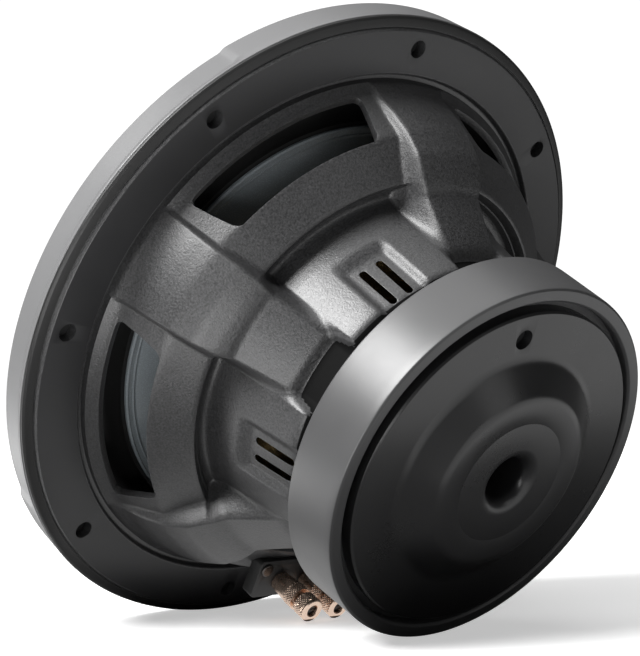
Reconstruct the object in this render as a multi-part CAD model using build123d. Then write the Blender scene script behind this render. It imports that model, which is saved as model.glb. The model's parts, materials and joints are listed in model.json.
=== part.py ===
"""Ten inch car subwoofer driver, lying on its side on its trim ring's rim and its magnet boot's heel.

Every piece is drawn about the driver's own axis: Z runs from the flange's rear face towards the magnet,
X points to the first bolt hole and radii are measured from Z. One placement at the end lays it all down.
"""
from build123d import *
import math
import os

# Flange and bolt circle
bolt_circle_radius = 123.0
bolt_count = 8
bolt_hole_radius = 3.6
flange_margin = 9.2
flange_thickness = 4.5
flange_chamfer = 2.2
mouth_margin = 13.5

# Cast basket: arms stand between windows, five of each
arm_count = 5
casting_wall = 3.2
arm_half_angle = 10.8
arm_foot_half_angle = 9.4
window_half_angle = 22.5
window_heel_half_angle = 19.7
window_corner_radius = 4.0
window_reach = 12.0
window_rim_inset = 4.0
window_rim_height = 3.7
window_heel_inset = 12.3
window_heel_drop = 11.0
shoulder_inset = 27.1
shoulder_height = 34.4
valley_depth = 3.4
spider_wall_inset = 10.4
spider_wall_rise = 4.6
spider_wall_draft = 7.0
base_height = 81.0
base_bore_clearance = 1.5
arm_step_rise = 8.6
arm_foot_swell = 3.0
arm_foot_drop = 19.5
slot_width = 3.2
slot_half_angle = 3.3
slot_length = 19.5
slot_drop = 9.5
slot_pad_half_width = 11.0
slot_pad_depth = 1.2
slot_pad_length = 35.0

# Trim ring and gasket round the flange
trim_overhang = 3.1
trim_rear_offset = 3.6
trim_height = 15.5
trim_lobe_taper = 0.6
trim_recess_depth = 1.1
trim_lobe_start = 126.0
trim_lobe_sweep = 89.0
trim_fit = 0.1
land_fit = 0.5
gasket_inset = 0.4

# Moving system
surround_roll_width = 18.0
surround_mouth_clearance = 1.5
surround_land_margin = 5.5
surround_thickness = 1.0
cone_lip_width = 4.5
cone_thickness = 1.2
cone_neck_drop = 6.5
dust_cap_radius = 42.0
dust_cap_rise = 11.0
dust_cap_thickness = 0.8
former_radius = 25.6
former_wall = 0.4
former_overhang = 1.0
coil_thickness = 1.2
coil_height = 24.0
coil_gap_clearance = 0.8
soft_clearance = 0.3

# Spider
spider_thickness = 0.8
spider_rise = 5.6
spider_wave_count = 6
spider_wave_rise = 1.6
spider_land_reach = 3.5
spider_cup_inset = 5.5
spider_ledge_gap = 3.4

# Magnet system
top_plate_thickness = 6.0
top_plate_inset = 6.0
magnet_radius = 70.0
magnet_thickness = 16.0
magnet_bore_radius = 34.0
back_plate_inset = 4.2
back_plate_thickness = 6.0
back_plate_bevel = 0.8
bump_foot_radius = 46.7
bump_top_radius = 34.8
bump_rise = 9.1
vent_radius = 8.9
vent_mouth_radius = 14.1
vent_flare_depth = 5.0
locating_hole_radius = 3.9
locating_hole_circle = 55.6
locating_hole_angle = 11.7
locating_hole_depth = 4.0

# Rubber boot round the magnet
boot_front_wall = 5.3
boot_rear_wall = 4.6
boot_front_gap = 1.9
boot_lip_height = 4.9
boot_heel_bevel = 0.9
boot_lip_gap = 3.0

# Screws that hold the basket to the top plate
frame_screw_radius = 2.0
frame_screw_head_radius = 3.8
frame_screw_head_height = 2.4
frame_screw_length = 8.0

# Push terminals, in the middle of the lowest window
terminal_angle = 180.0
terminal_reach = 14.1
terminal_spacing = 14.4
terminal_foot_drop = 7.4
terminal_base_thickness = 6.0
terminal_base_length = 40.0
terminal_base_inner_reach = 4.6
terminal_base_width = 17.0
terminal_body_length = 14.5
terminal_passage_width = 6.0
terminal_passage_length = 24.4
terminal_body_root_radius = 4.1
terminal_body_end_radius = 5.0
terminal_body_collar = 5.0
terminal_cap_length = 6.6
terminal_cap_radius = 4.9
terminal_cap_bevel = 0.5
terminal_post_radius = 1.7
terminal_chamber_radius = 3.6
terminal_chamber_depth = 2.6
terminal_web = 1.4
terminal_mouth_radius = 2.5
terminal_screw_head_radius = 2.2
terminal_screw_head_height = 1.0
terminal_screw_radius = 0.9
terminal_screw_length = 5.0
terminal_running_clearance = 0.06
cap_travel = 1.8
cap_stop_clearance = 0.2
spring_wire_radius = 0.35
spring_turns = 3.0
lug_thickness = 0.8
lug_width = 5.0
lug_length = 9.0
base_rivet_radius = 1.5
base_rivet_head_radius = 2.8
base_rivet_head_height = 1.0
base_rivet_side = 16.0
base_rivet_inset = 4.0

# Tinsel leads from the terminal lugs to the voice coil former
lead_radius = 1.1
lead_side = 10.0
lead_bend_share = 0.45

# Radii that follow from the ones above
flange_radius = bolt_circle_radius + flange_margin
bell_mouth_radius = bolt_circle_radius - mouth_margin
window_rim_radius = bell_mouth_radius - window_rim_inset
window_heel_radius = bell_mouth_radius - window_heel_inset
shoulder_radius = bell_mouth_radius - shoulder_inset
spider_wall_radius = shoulder_radius - spider_wall_inset
base_radius = spider_wall_radius - spider_wall_draft
arm_foot_radius = base_radius + arm_foot_swell
surround_land_radius = bolt_circle_radius - surround_land_margin
surround_outer_radius = bell_mouth_radius - surround_mouth_clearance
cone_rim_radius = surround_outer_radius - surround_roll_width
trim_radius = flange_radius + trim_overhang
trim_inner_radius = surround_land_radius + 2 * land_fit
trim_lobe_front_radius = trim_radius - trim_lobe_taper
neck_radius = former_radius + former_wall
coil_outer_radius = neck_radius + coil_thickness
pole_radius = former_radius - coil_gap_clearance
gap_outer_radius = coil_outer_radius + coil_gap_clearance
base_bore_radius = gap_outer_radius + base_bore_clearance
top_plate_radius = magnet_radius - top_plate_inset
frame_screw_circle = (gap_outer_radius + top_plate_radius) / 2
spider_land_radius = spider_wall_radius + spider_land_reach
spider_cup_radius = spider_wall_radius - spider_cup_inset
back_plate_radius = magnet_radius - back_plate_inset
boot_front_radius = magnet_radius + boot_front_wall
boot_rear_radius = magnet_radius + boot_rear_wall
boot_lip_inner_radius = back_plate_radius + boot_lip_gap
terminal_circle = shoulder_radius + terminal_reach
terminal_base_inner_radius = shoulder_radius + terminal_base_inner_reach
terminal_base_outer_radius = terminal_base_inner_radius + terminal_base_width

# Heights that follow from the ones above
flange_front_height = -flange_thickness
trim_front_height = -trim_rear_offset - trim_height
cone_rim_height = flange_front_height + surround_thickness
window_heel_height = shoulder_height - window_heel_drop
spider_wall_height = shoulder_height + spider_wall_rise
arm_step_height = shoulder_height + arm_step_rise
arm_foot_height = base_height - arm_foot_drop
slot_high_height = base_height - slot_drop
slot_low_height = slot_high_height - slot_length
spider_height = shoulder_height + spider_rise
cone_neck_height = spider_height - cone_neck_drop
base_front_height = base_height - casting_wall
magnet_front_height = base_height + top_plate_thickness
magnet_rear_height = magnet_front_height + magnet_thickness
plate_face_height = magnet_rear_height + back_plate_thickness
bump_top_height = plate_face_height + bump_rise
boot_front_height = base_height + boot_front_gap
boot_rear_height = magnet_rear_height + boot_lip_height
coil_middle_height = base_height + top_plate_thickness / 2
terminal_gap = cap_travel + cap_stop_clearance
terminal_foot_height = shoulder_height - terminal_foot_drop
terminal_end_height = terminal_foot_height + terminal_base_thickness + terminal_body_length
cap_foot_height = terminal_end_height + terminal_gap

# Angles that follow from the ones above
window_angle = 180.0 / arm_count
arm_pitch = 360.0 / arm_count


def turned(points, start=0.0, sweep=360.0):
    """Turn an outline of (radius, height) points about the driver's axis."""
    outline = Plane.XZ * make_face(Polyline(*points, close=True))
    return Rot(Z=start) * revolve(outline, Axis.Z, sweep)


def tube(outer, inner, low, high):
    """A plain ring between two radii and two heights."""
    return turned([(inner, low), (outer, low), (outer, high), (inner, high)])


def rod(radius, low, high):
    """A round bar along the axis."""
    return Pos(0, 0, (low + high) / 2) * Cylinder(radius, high - low)


def around(shape, count, first=0.0):
    """Copies of a shape at equal angles about the axis."""
    return [Rot(Z=first + 360.0 * index / count) * shape for index in range(count)]


def polar(radius, angle, height=0.0):
    """A point from its radius, its angle from the first bolt hole and its height."""
    turn = math.radians(angle)
    return (radius * math.cos(turn), radius * math.sin(turn), height)


def wedge(wide_angle, wide_radius, narrow_angle, narrow_radius, low, high):
    """A block over one arm or window whose sides pass through two points, given by half angle and radius."""
    wide_x, wide_y, _ = polar(wide_radius, wide_angle)
    narrow_x, narrow_y, _ = polar(narrow_radius, narrow_angle)
    slope = (wide_y - narrow_y) / (wide_x - narrow_x)
    near, far = base_radius / 2, flange_radius
    near_y = narrow_y + slope * (near - narrow_x)
    far_y = narrow_y + slope * (far - narrow_x)
    outline = make_face(Polyline((far, far_y), (near, near_y), (near, -near_y), (far, -far_y), close=True))
    return Pos(0, 0, low) * extrude(outline, high - low)


# ---------------------------------------------------------------- basket

def bell_outline():
    """Outer surface of the basket between the arms, from the flange to the base."""
    return [
        (bell_mouth_radius, 0.0),
        (window_rim_radius, window_rim_height),
        (window_heel_radius, window_heel_height),
        (shoulder_radius, shoulder_height),
        (shoulder_radius - 4.0, shoulder_height - valley_depth + 1.0),
        (spider_wall_radius + 2.5, shoulder_height - valley_depth + 1.6),
        (spider_wall_radius, spider_wall_height),
        (base_radius + 1.8, slot_high_height),
        (base_radius, base_height),
    ]


def arm_outline():
    """Outer surface of the basket along an arm."""
    return [
        (bell_mouth_radius, 0.0),
        (bell_mouth_radius - 4.3, shoulder_height - 27.4),
        (bell_mouth_radius - 7.0, shoulder_height - 19.6),
        (bell_mouth_radius - 10.9, shoulder_height - 9.8),
        (bell_mouth_radius - 16.7, shoulder_height - 0.4),
        (shoulder_radius - 0.4, arm_step_height),
        (arm_foot_radius, arm_foot_height),
        (base_radius + 1.2, slot_high_height),
        (base_radius, base_height),
    ]


def filled(points, floor):
    """The solid inside an outer surface, down to a flat floor."""
    top = points[-1][1]
    return turned([(0, floor), (points[0][0], floor)] + points + [(0, top)])


def shifted(points, wall):
    """An outer surface moved in and forward by the wall."""
    return [(radius - wall, height - wall) for radius, height in points]


def arm_block(side):
    """The space of one arm, grown or shrunk sideways."""
    grow = math.degrees(side / shoulder_radius)
    return wedge(
        arm_half_angle + grow, bell_mouth_radius,
        arm_foot_half_angle + grow, arm_foot_radius, -flange_thickness - 1.0, base_height + 1.0,
    )


def basket_skin(wall):
    """Bell and arms together as one filled solid, shrunk by the wall."""
    floor = -flange_thickness - (1.0 if wall else 0.0)
    side = -wall * 0.8
    skin = filled(shifted(bell_outline(), wall), floor)
    arm = filled(shifted(arm_outline(), wall), floor) & arm_block(side)
    for copy in around(arm, arm_count):
        skin = skin + copy
    return skin


def window_cutter():
    """The opening of one window, cut square to the bell's wall, with round corners."""
    (rim_radius, rim_height), (heel_radius, heel_height) = bell_outline()[1:3]
    run = math.hypot(rim_radius - heel_radius, heel_height - rim_height)
    out_radius = (heel_height - rim_height) / run
    out_height = (rim_radius - heel_radius) / run
    band = turned([
        (rim_radius - window_reach * out_radius, rim_height - window_reach * out_height),
        (rim_radius + window_reach * out_radius, rim_height + window_reach * out_height),
        (heel_radius + window_reach * out_radius, heel_height + window_reach * out_height),
        (heel_radius - window_reach * out_radius, heel_height - window_reach * out_height),
    ])
    sides = wedge(window_half_angle, rim_radius, window_heel_half_angle, heel_radius, -20.0, base_height)
    cutter = band & sides
    corners = [edge for edge in cutter.edges() if abs(edge.length / (2 * window_reach) - 1) < 0.25]
    return fillet(corners, window_corner_radius)


def slot_cutter(angle):
    """One upright vent slot through the spider wall."""
    middle = (slot_low_height + slot_high_height) / 2
    outline = Plane.YZ * Pos(0, middle) * SlotOverall(slot_length, slot_width, rotation=90)
    return Rot(Z=angle) * Pos(base_radius - 15.0, 0, 0) * extrude(outline, 40.0)


def slot_pad_cutter():
    """A shallow flat recess round a pair of slots, following the slope of the spider wall."""
    slope = math.degrees(math.atan2(spider_wall_radius - base_radius, base_height - spider_wall_height))
    face = Pos(spider_wall_radius - slot_pad_depth, 0, spider_wall_height) * Rot(Y=-slope)
    middle = (slot_low_height + slot_high_height) / 2 - spider_wall_height + 2.25
    return face * Pos(10.0, 0, middle) * Box(20.0, 2 * slot_pad_half_width, slot_pad_length)


def basket():
    """Cast frame: flange, five windows, five raised arms, vented spider wall and base."""
    flange = tube(flange_radius, bell_mouth_radius - casting_wall, -flange_thickness, 0.0)
    rim = [edge for edge in flange.edges().filter_by(GeomType.CIRCLE)
           if abs(edge.radius - flange_radius) < 0.01 and abs(edge.center().Z) < 0.01]
    flange = chamfer(rim, flange_chamfer)
    shell = basket_skin(0.0) - basket_skin(casting_wall)
    shell = shell - rod(base_bore_radius, base_front_height - 5.0, base_height + 5.0)
    frame = flange + shell
    window = window_cutter()
    pad = slot_pad_cutter()
    for index in range(arm_count):
        angle = window_angle + arm_pitch * index
        frame = frame - Rot(Z=angle) * window
        frame = frame - Rot(Z=angle) * pad
        frame = frame - slot_cutter(angle - slot_half_angle)
        frame = frame - slot_cutter(angle + slot_half_angle)
    for index in range(bolt_count):
        hole = rod(bolt_hole_radius, -flange_thickness - 1.0, 1.0)
        frame = frame - Pos(*polar(bolt_circle_radius, 360.0 * index / bolt_count)) * hole
    screw_hole = rod(frame_screw_radius, base_front_height - 5.0, base_height + 1.0)
    for hole in around(Pos(frame_screw_circle, 0, 0) * screw_hole, arm_count, window_angle):
        frame = frame - hole
    for hole in base_rivet_holes():
        frame = frame - hole
    return frame - terminal_passage(0.0)


def terminal_sides():
    """Angle and side of each terminal: one either way from the middle of the lowest window."""
    return [("positive", 1), ("negative", -1)]


def terminal_place(side, height=0.0):
    """Location of a terminal's axis, with Z along it towards the rear."""
    return Rot(Z=terminal_angle) * Pos(terminal_circle, side * terminal_spacing / 2, height)


def terminal_passage(clearance):
    """The block that passes through the shoulder under the terminal base, less a clearance all round."""
    middle = shoulder_radius + 4.0
    block = Box(terminal_passage_width - 2 * clearance, terminal_passage_length - 2 * clearance, 12.0)
    return Rot(Z=terminal_angle) * Pos(middle, 0, terminal_foot_height - 3.0) * block


def base_rivet_holes():
    """The two holes that fix the terminal base to the shoulder."""
    hole = rod(base_rivet_radius, shoulder_height - 20.0, shoulder_height + 10.0)
    seat = terminal_base_inner_radius + base_rivet_inset
    return [Rot(Z=terminal_angle) * Pos(seat, side * base_rivet_side, 0) * hole for side in (1, -1)]


def frame_screws():
    """Pan head screws that hold the basket to the top plate, one behind each window."""
    head = rod(frame_screw_head_radius, base_front_height - frame_screw_head_height, base_front_height)
    shank = rod(frame_screw_radius, base_front_height, base_front_height + frame_screw_length)
    slot_block = Pos(0, 0, base_front_height - frame_screw_head_height) * Box(1.0, 20.0, 1.6)
    screw = Pos(frame_screw_circle, 0, 0) * (head + shank - slot_block)
    return Compound(around(screw, arm_count, window_angle))


# ---------------------------------------------------------------- flange trim

def trim_ring():
    """Grey ring that covers the flange and the surround's edge, with two raised lobes on its side."""
    rear = -trim_rear_offset
    low_radius = trim_lobe_front_radius - trim_recess_depth
    land = flange_front_height - surround_thickness
    body = turned([
        (trim_radius, rear), (flange_radius + trim_fit, rear),
        (flange_radius + trim_fit, flange_front_height),
        (surround_land_radius + land_fit, flange_front_height), (surround_land_radius + land_fit, land),
        (trim_inner_radius - 3.5, land), (trim_inner_radius, trim_front_height + 2.0),
        (trim_inner_radius + 3.0, trim_front_height), (low_radius - 4.0, trim_front_height),
        (low_radius - 1.2, trim_front_height + 1.2), (low_radius, trim_front_height + 4.0),
        (low_radius, rear - 3.0),
    ])
    lobe_outline = [
        (low_radius - 6.0, rear - 1.0), (trim_radius, rear - 1.0),
        (trim_lobe_front_radius, trim_front_height + 2.4),
        (trim_lobe_front_radius - 2.0, trim_front_height), (low_radius - 6.0, trim_front_height),
    ]
    for start in (trim_lobe_start, trim_lobe_start + 180.0):
        body = body + turned(lobe_outline, start, trim_lobe_sweep)
    return body


def flange_gasket():
    """Black rubber lip that fills the corner between the flange's edge and the trim ring."""
    inner = flange_radius + trim_fit
    outer = trim_radius - gasket_inset
    rear = -trim_rear_offset
    return turned([
        (inner, rear), (outer, rear), (outer, rear + 0.8), (outer - 1.0, rear + 1.5), (inner, rear + 1.2),
    ])


# ---------------------------------------------------------------- moving system

def cone_back(radius):
    """Height of the cone's rear face at a radius."""
    share = (radius - neck_radius) / (cone_rim_radius - cone_lip_width - neck_radius)
    return cone_neck_height + (cone_rim_height + cone_thickness - cone_neck_height) * share


def cone():
    """Straight sided cone with a flat lip for the surround and a neck glued round the former."""
    lip_start = cone_rim_radius - cone_lip_width
    rear = cone_rim_height + cone_thickness
    wall = cone_thickness * 1.2
    return turned([
        (neck_radius, cone_neck_height + 2.0), (neck_radius + wall, cone_neck_height + 2.0),
        (neck_radius + wall, cone_back(neck_radius + wall)), (lip_start, rear), (cone_rim_radius, rear),
        (cone_rim_radius, cone_rim_height), (lip_start, cone_rim_height),
        (neck_radius, cone_neck_height - wall),
    ])


def dust_cap():
    """Domed cap glued to the front of the cone over the voice coil."""
    seat = cone_back(dust_cap_radius) - cone_thickness * 1.35
    shell = []
    for inset in (0.0, dust_cap_thickness):
        radius = dust_cap_radius - inset
        low = seat + inset
        rise = dust_cap_rise - inset
        ball = (radius ** 2 + rise ** 2) / (2 * rise)
        cap = Pos(0, 0, low - rise + ball) * Sphere(ball)
        shell.append(cap & Pos(0, 0, low - 50.0) * Cylinder(radius, 100.0))
    return shell[0] - shell[1]


def surround():
    """Half roll of rubber from the cone's lip to the flange's front face."""
    inner = cone_rim_radius + soft_clearance
    outer = surround_outer_radius
    middle = (inner + outer) / 2
    roll = (outer - inner) / 2
    front = flange_front_height - surround_thickness
    face = make_face(Polyline(
        (outer - 0.5, front), (surround_land_radius, front), (surround_land_radius, flange_front_height),
        (outer - 0.5, flange_front_height), close=True,
    ))
    ring = Circle(roll) - Circle(roll - surround_thickness)
    front_half = Pos(middle, flange_front_height - roll) * Rectangle(4 * roll, 2 * roll)
    half = Pos(middle, flange_front_height) * ring & front_half
    lip = make_face(Polyline(
        (cone_rim_radius - cone_lip_width, cone_rim_height - surround_thickness - soft_clearance),
        (inner + 0.6, cone_rim_height - surround_thickness - soft_clearance),
        (inner + 0.6, cone_rim_height - soft_clearance),
        (cone_rim_radius - cone_lip_width, cone_rim_height - soft_clearance), close=True,
    ))
    return revolve(Plane.XZ * (half + face + lip), Axis.Z, 360)


def voice_coil_former():
    """Thin tube that carries the winding and joins it to the cone."""
    rear = coil_middle_height + coil_height / 2 + former_overhang
    return tube(neck_radius, former_radius, cone_neck_height - 3.0, rear)


def voice_coil_winding():
    """Copper winding, longer than the gap is deep."""
    half = coil_height / 2
    return tube(coil_outer_radius, neck_radius, coil_middle_height - half, coil_middle_height + half)


def spider():
    """Corrugated cloth disc from the former to the ledge inside the basket."""
    inner = neck_radius + soft_clearance
    pitch = (spider_cup_radius - inner - 2.0) / spider_wave_count
    land_front = shoulder_height - valley_depth - casting_wall - spider_ledge_gap
    top = [(inner, spider_height)]
    for index in range(spider_wave_count):
        start = inner + 2.0 + pitch * index
        top.append((start + pitch * 0.25, spider_height - spider_wave_rise))
        top.append((start + pitch * 0.75, spider_height + spider_wave_rise))
    top.append((spider_cup_radius, spider_height))
    top.append((spider_cup_radius + 2.2, land_front))
    top.append((spider_land_radius, land_front))
    rear = [(radius, height + spider_thickness) for radius, height in reversed(top)]
    return turned(top + rear)


# ---------------------------------------------------------------- magnet system

def top_plate():
    """Steel plate that closes the front of the magnet and forms the outside of the gap."""
    plate = tube(top_plate_radius, gap_outer_radius, base_height, magnet_front_height)
    hole = rod(frame_screw_radius, base_height - 1.0, magnet_front_height + 1.0)
    for copy in around(Pos(frame_screw_circle, 0, 0) * hole, arm_count, window_angle):
        plate = plate - copy
    return plate


def magnet():
    """Ferrite ring."""
    return tube(magnet_radius, magnet_bore_radius, magnet_front_height, magnet_rear_height)


def back_plate():
    """Bumped back plate: a disc pressed out into a dome that clears the voice coil, with a blind hole."""
    groove_floor = bump_top_height - back_plate_thickness
    bore = pole_radius
    plate = turned([
        (bore, bump_top_height), (bump_top_radius, bump_top_height), (bump_foot_radius, plate_face_height),
        (back_plate_radius - back_plate_bevel, plate_face_height),
        (back_plate_radius, plate_face_height - back_plate_bevel),
        (back_plate_radius, magnet_rear_height), (magnet_bore_radius + 3.0, magnet_rear_height),
        (magnet_bore_radius - 2.0, groove_floor), (bore, groove_floor),
    ])
    hole = rod(locating_hole_radius, plate_face_height - locating_hole_depth, plate_face_height + 1.0)
    return plate - Pos(*polar(locating_hole_circle, locating_hole_angle)) * hole


def pole_piece():
    """Steel pole with a vent through it that opens out at the rear."""
    flare = vent_mouth_radius - vent_radius
    pole = rod(pole_radius, base_height, bump_top_height)
    vent = turned([
        (0, base_height - 1.0), (vent_radius, base_height - 1.0),
        (vent_radius, bump_top_height - vent_flare_depth),
        (vent_radius + flare * 0.35, bump_top_height - vent_flare_depth * 0.35),
        (vent_mouth_radius, bump_top_height), (0, bump_top_height),
    ])
    return pole - vent


def magnet_boot():
    """Rubber sleeve stretched over the magnet, with a lip turned in over its rear edge."""
    heel = boot_rear_height - boot_heel_bevel
    return turned([
        (magnet_radius, boot_front_height), (boot_front_radius - 0.8, boot_front_height),
        (boot_front_radius, boot_front_height + 0.8), (boot_rear_radius, heel),
        (boot_rear_radius - boot_heel_bevel, boot_rear_height), (boot_lip_inner_radius, boot_rear_height),
        (boot_lip_inner_radius, magnet_rear_height), (magnet_radius, magnet_rear_height),
    ])


# ---------------------------------------------------------------- terminals and leads

def terminal_base():
    """Insulating block that sits on the heel of the lowest window and carries both terminals."""
    middle = (terminal_base_outer_radius + terminal_base_inner_radius) / 2
    height = terminal_foot_height + terminal_base_thickness / 2
    block = Box(terminal_base_width, terminal_base_length, terminal_base_thickness)
    block = fillet(block.edges().filter_by(Axis.Z), 2.0)
    base = Rot(Z=terminal_angle) * Pos(middle, 0, height) * block
    base = base - filled(bell_outline(), -flange_thickness) + terminal_passage(soft_clearance)
    for hole in base_rivet_holes():
        base = base - hole
    return base


def base_rivets():
    """Rivets that hold the terminal base to the shoulder."""
    top = terminal_foot_height + terminal_base_thickness
    shank = rod(base_rivet_radius, terminal_foot_height - 5.0, top)
    head = rod(base_rivet_head_radius, top, top + base_rivet_head_height)
    rim = [edge for edge in head.edges().filter_by(GeomType.CIRCLE) if edge.center().Z > top + 0.5]
    rivet = shank + fillet(rim, base_rivet_head_height * 0.7)
    seat = terminal_base_inner_radius + base_rivet_inset
    places = [Rot(Z=terminal_angle) * Pos(seat, side * base_rivet_side, 0) for side in (1, -1)]
    return Compound([place * rivet for place in places])


def terminal_body(side):
    """Tapered barrel with a post that its push cap slides on."""
    foot = terminal_foot_height + terminal_base_thickness
    post_end = cap_foot_height + terminal_chamber_depth + terminal_web
    barrel = turned([
        (0, foot), (terminal_body_root_radius, foot),
        (terminal_body_end_radius, terminal_end_height - terminal_body_collar),
        (terminal_body_end_radius, terminal_end_height), (terminal_post_radius, terminal_end_height),
        (terminal_post_radius, post_end), (0, post_end),
    ])
    bore = rod(terminal_screw_radius, post_end - terminal_screw_length, post_end + 1.0)
    return terminal_place(side) * (barrel - bore)


def terminal_cap(side):
    """Push cap: a chamber for the spring, a web that slides on the post and an open mouth."""
    low = cap_foot_height
    web_low = low + terminal_chamber_depth
    web_high = web_low + terminal_web
    high = low + terminal_cap_length
    slide = terminal_post_radius + terminal_running_clearance
    cap = turned([
        (terminal_chamber_radius, low), (terminal_cap_radius, low),
        (terminal_cap_radius, high - terminal_cap_bevel),
        (terminal_cap_radius - terminal_cap_bevel, high), (terminal_mouth_radius, high),
        (terminal_mouth_radius, web_high),
        (slide, web_high), (slide, web_low), (terminal_chamber_radius, web_low),
    ])
    return terminal_place(side) * cap


def terminal_screw(side):
    """Slotted screw in the end of the post that stops the cap."""
    seat = cap_foot_height + terminal_chamber_depth + terminal_web
    head = rod(terminal_screw_head_radius, seat, seat + terminal_screw_head_height)
    shank = rod(terminal_screw_radius, seat - terminal_screw_length, seat)
    slot_block = Pos(0, 0, seat + terminal_screw_head_height) * Box(0.6, 10.0, 0.9)
    return terminal_place(side) * (head + shank - slot_block)


def terminal_spring(side):
    """Coil spring between the body and the cap's web."""
    low = terminal_end_height + soft_clearance + spring_wire_radius
    high = cap_foot_height + terminal_chamber_depth - soft_clearance - spring_wire_radius
    coil_radius = (terminal_post_radius + terminal_chamber_radius) / 2
    wire = Helix((high - low) / spring_turns, high - low, coil_radius)
    section = Plane(origin=wire @ 0, z_dir=wire % 0) * Circle(spring_wire_radius)
    return terminal_place(side) * Pos(0, 0, low) * sweep(section, path=wire, is_frenet=True)


def lead_lug(side):
    """Brass solder lug under the terminal base, reaching out over the open window."""
    low = terminal_foot_height - lug_thickness
    middle = terminal_base_outer_radius - lug_length / 2
    plate = Box(lug_length, lug_width, lug_thickness)
    place = Rot(Z=terminal_angle) * Pos(middle, side * terminal_spacing / 2, low + lug_thickness / 2)
    return place * plate


def lead_points(side):
    """Corners of a lead's route, from under its lug to beside the former."""
    lug_radius = terminal_base_outer_radius - lug_length / 2
    lug_low = terminal_foot_height - lug_thickness
    route = [
        (lug_radius, terminal_spacing / 2, lug_low - soft_clearance),
        (lug_radius - 0.5, terminal_spacing / 2 + 0.6, lug_low - 9.0),
        (86.0, lead_side, 16.0),
        (74.0, lead_side + 2.0, 18.0),
        (61.0, lead_side + 1.0, 24.5),
        (48.0, lead_side - 1.0, 31.0),
        (37.0, lead_side - 4.0, 35.2),
        (neck_radius + soft_clearance, lead_side - 6.0, 37.0),
    ]
    return [(x, side * y, height) for x, y, height in route]


def lead(side):
    """Braided tinsel lead with enough slack for the cone's travel."""
    points = [Vector(*point) for point in lead_points(side)]
    radii = []
    for before, here, after in zip(points, points[1:], points[2:]):
        turn = math.radians((here - before).get_angle(after - here))
        shorter = min((here - before).length, (after - here).length)
        radii.append(lead_bend_share * shorter / math.tan(turn / 2))
    path = FilletPolyline(*points, radius=radii)
    section = Plane(origin=path @ 0, z_dir=path % 0) * Circle(lead_radius)
    return Rot(Z=terminal_angle) * sweep(section, path=path)


# ---------------------------------------------------------------- assembly

def resting_tilt():
    """Angle of the axis below level when the driver lies on its trim ring and its boot."""
    heel_height = boot_rear_height - boot_heel_bevel
    return math.atan2(trim_radius - boot_rear_radius, heel_height + trim_rear_offset)


def laid_down():
    """Orientation of the driver at rest: its front faces -Y and up, and its terminals are at the bottom."""
    tilt = resting_tilt()
    up = (0, math.sin(tilt), math.cos(tilt))
    rearward = (0, math.cos(tilt), -math.sin(tilt))
    return Plane(origin=(0, 0, 0), x_dir=up, z_dir=rearward).location


def pieces():
    """Every node of the driver by name, drawn about its own axis."""
    made = {
        "basket": basket(),
        "frame_screws": frame_screws(),
        "trim_ring": trim_ring(),
        "flange_gasket": flange_gasket(),
        "cone": cone(),
        "dust_cap": dust_cap(),
        "surround": surround(),
        "voice_coil_former": voice_coil_former(),
        "voice_coil_winding": voice_coil_winding(),
        "spider": spider(),
        "top_plate": top_plate(),
        "magnet": magnet(),
        "back_plate": back_plate(),
        "pole_piece": pole_piece(),
        "magnet_boot": magnet_boot(),
        "terminal_base": terminal_base(),
        "terminal_base_rivets": base_rivets(),
    }
    for name, side in terminal_sides():
        made["terminal_body_" + name] = terminal_body(side)
        made["terminal_cap_" + name] = terminal_cap(side)
        made["terminal_screw_" + name] = terminal_screw(side)
        made["terminal_spring_" + name] = terminal_spring(side)
        made["lead_lug_" + name] = lead_lug(side)
        made["tinsel_lead_" + name] = lead(side)
    return made


def resting_place(made):
    """Placement of the whole driver: laid down, with its origin under the middle of its box."""
    orientation = laid_down()
    box = Compound(children=[orientation * shape for shape in made.values()]).bounding_box()
    middle = box.center()
    return Pos(-middle.X, -middle.Y, -box.min.Z) * orientation


def main():
    """Build every piece, lay the driver down and write one STEP file for each node."""
    os.makedirs("parts", exist_ok=True)
    made = pieces()
    place = resting_place(made)
    for name, shape in made.items():
        export_step(place * shape, "parts/" + name + ".step")
    print("tilt", round(math.degrees(resting_tilt()), 3), "axis origin", tuple(place.position))


if __name__ == "__main__":
    main()
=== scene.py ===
"""Looks of a ten inch car subwoofer driver, modelled round its packed construction frame.

Pieces are drawn in millimetres about the driver's own axis: Z runs from the flange's rear face towards the
magnet and X points to the first bolt hole. Each finished piece is then laid in the row frame, in metres.
"""
import json
import logging
import math
from dataclasses import dataclass, field
from enum import Enum
from functools import cached_property
from typing import Callable, Iterable, Sequence

import bpy
import numpy as np
from mathutils import Matrix, Vector


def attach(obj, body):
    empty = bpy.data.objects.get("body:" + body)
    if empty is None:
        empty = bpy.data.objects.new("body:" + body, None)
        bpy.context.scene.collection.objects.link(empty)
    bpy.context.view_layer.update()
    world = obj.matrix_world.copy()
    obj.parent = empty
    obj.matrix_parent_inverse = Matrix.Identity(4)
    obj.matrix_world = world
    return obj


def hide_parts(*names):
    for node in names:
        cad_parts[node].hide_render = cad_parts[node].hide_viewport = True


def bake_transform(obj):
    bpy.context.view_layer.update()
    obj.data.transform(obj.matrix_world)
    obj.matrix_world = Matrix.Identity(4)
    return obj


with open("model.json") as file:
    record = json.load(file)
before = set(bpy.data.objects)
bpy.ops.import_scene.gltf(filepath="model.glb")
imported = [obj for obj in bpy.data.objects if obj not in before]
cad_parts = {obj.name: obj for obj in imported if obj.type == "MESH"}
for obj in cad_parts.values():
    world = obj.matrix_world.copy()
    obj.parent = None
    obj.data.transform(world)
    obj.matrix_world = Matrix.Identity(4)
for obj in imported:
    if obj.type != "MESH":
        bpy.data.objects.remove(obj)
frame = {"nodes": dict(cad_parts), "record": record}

LOG = logging.getLogger("driver")
MM = 0.001
FULL_TURN = 360.0

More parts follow.
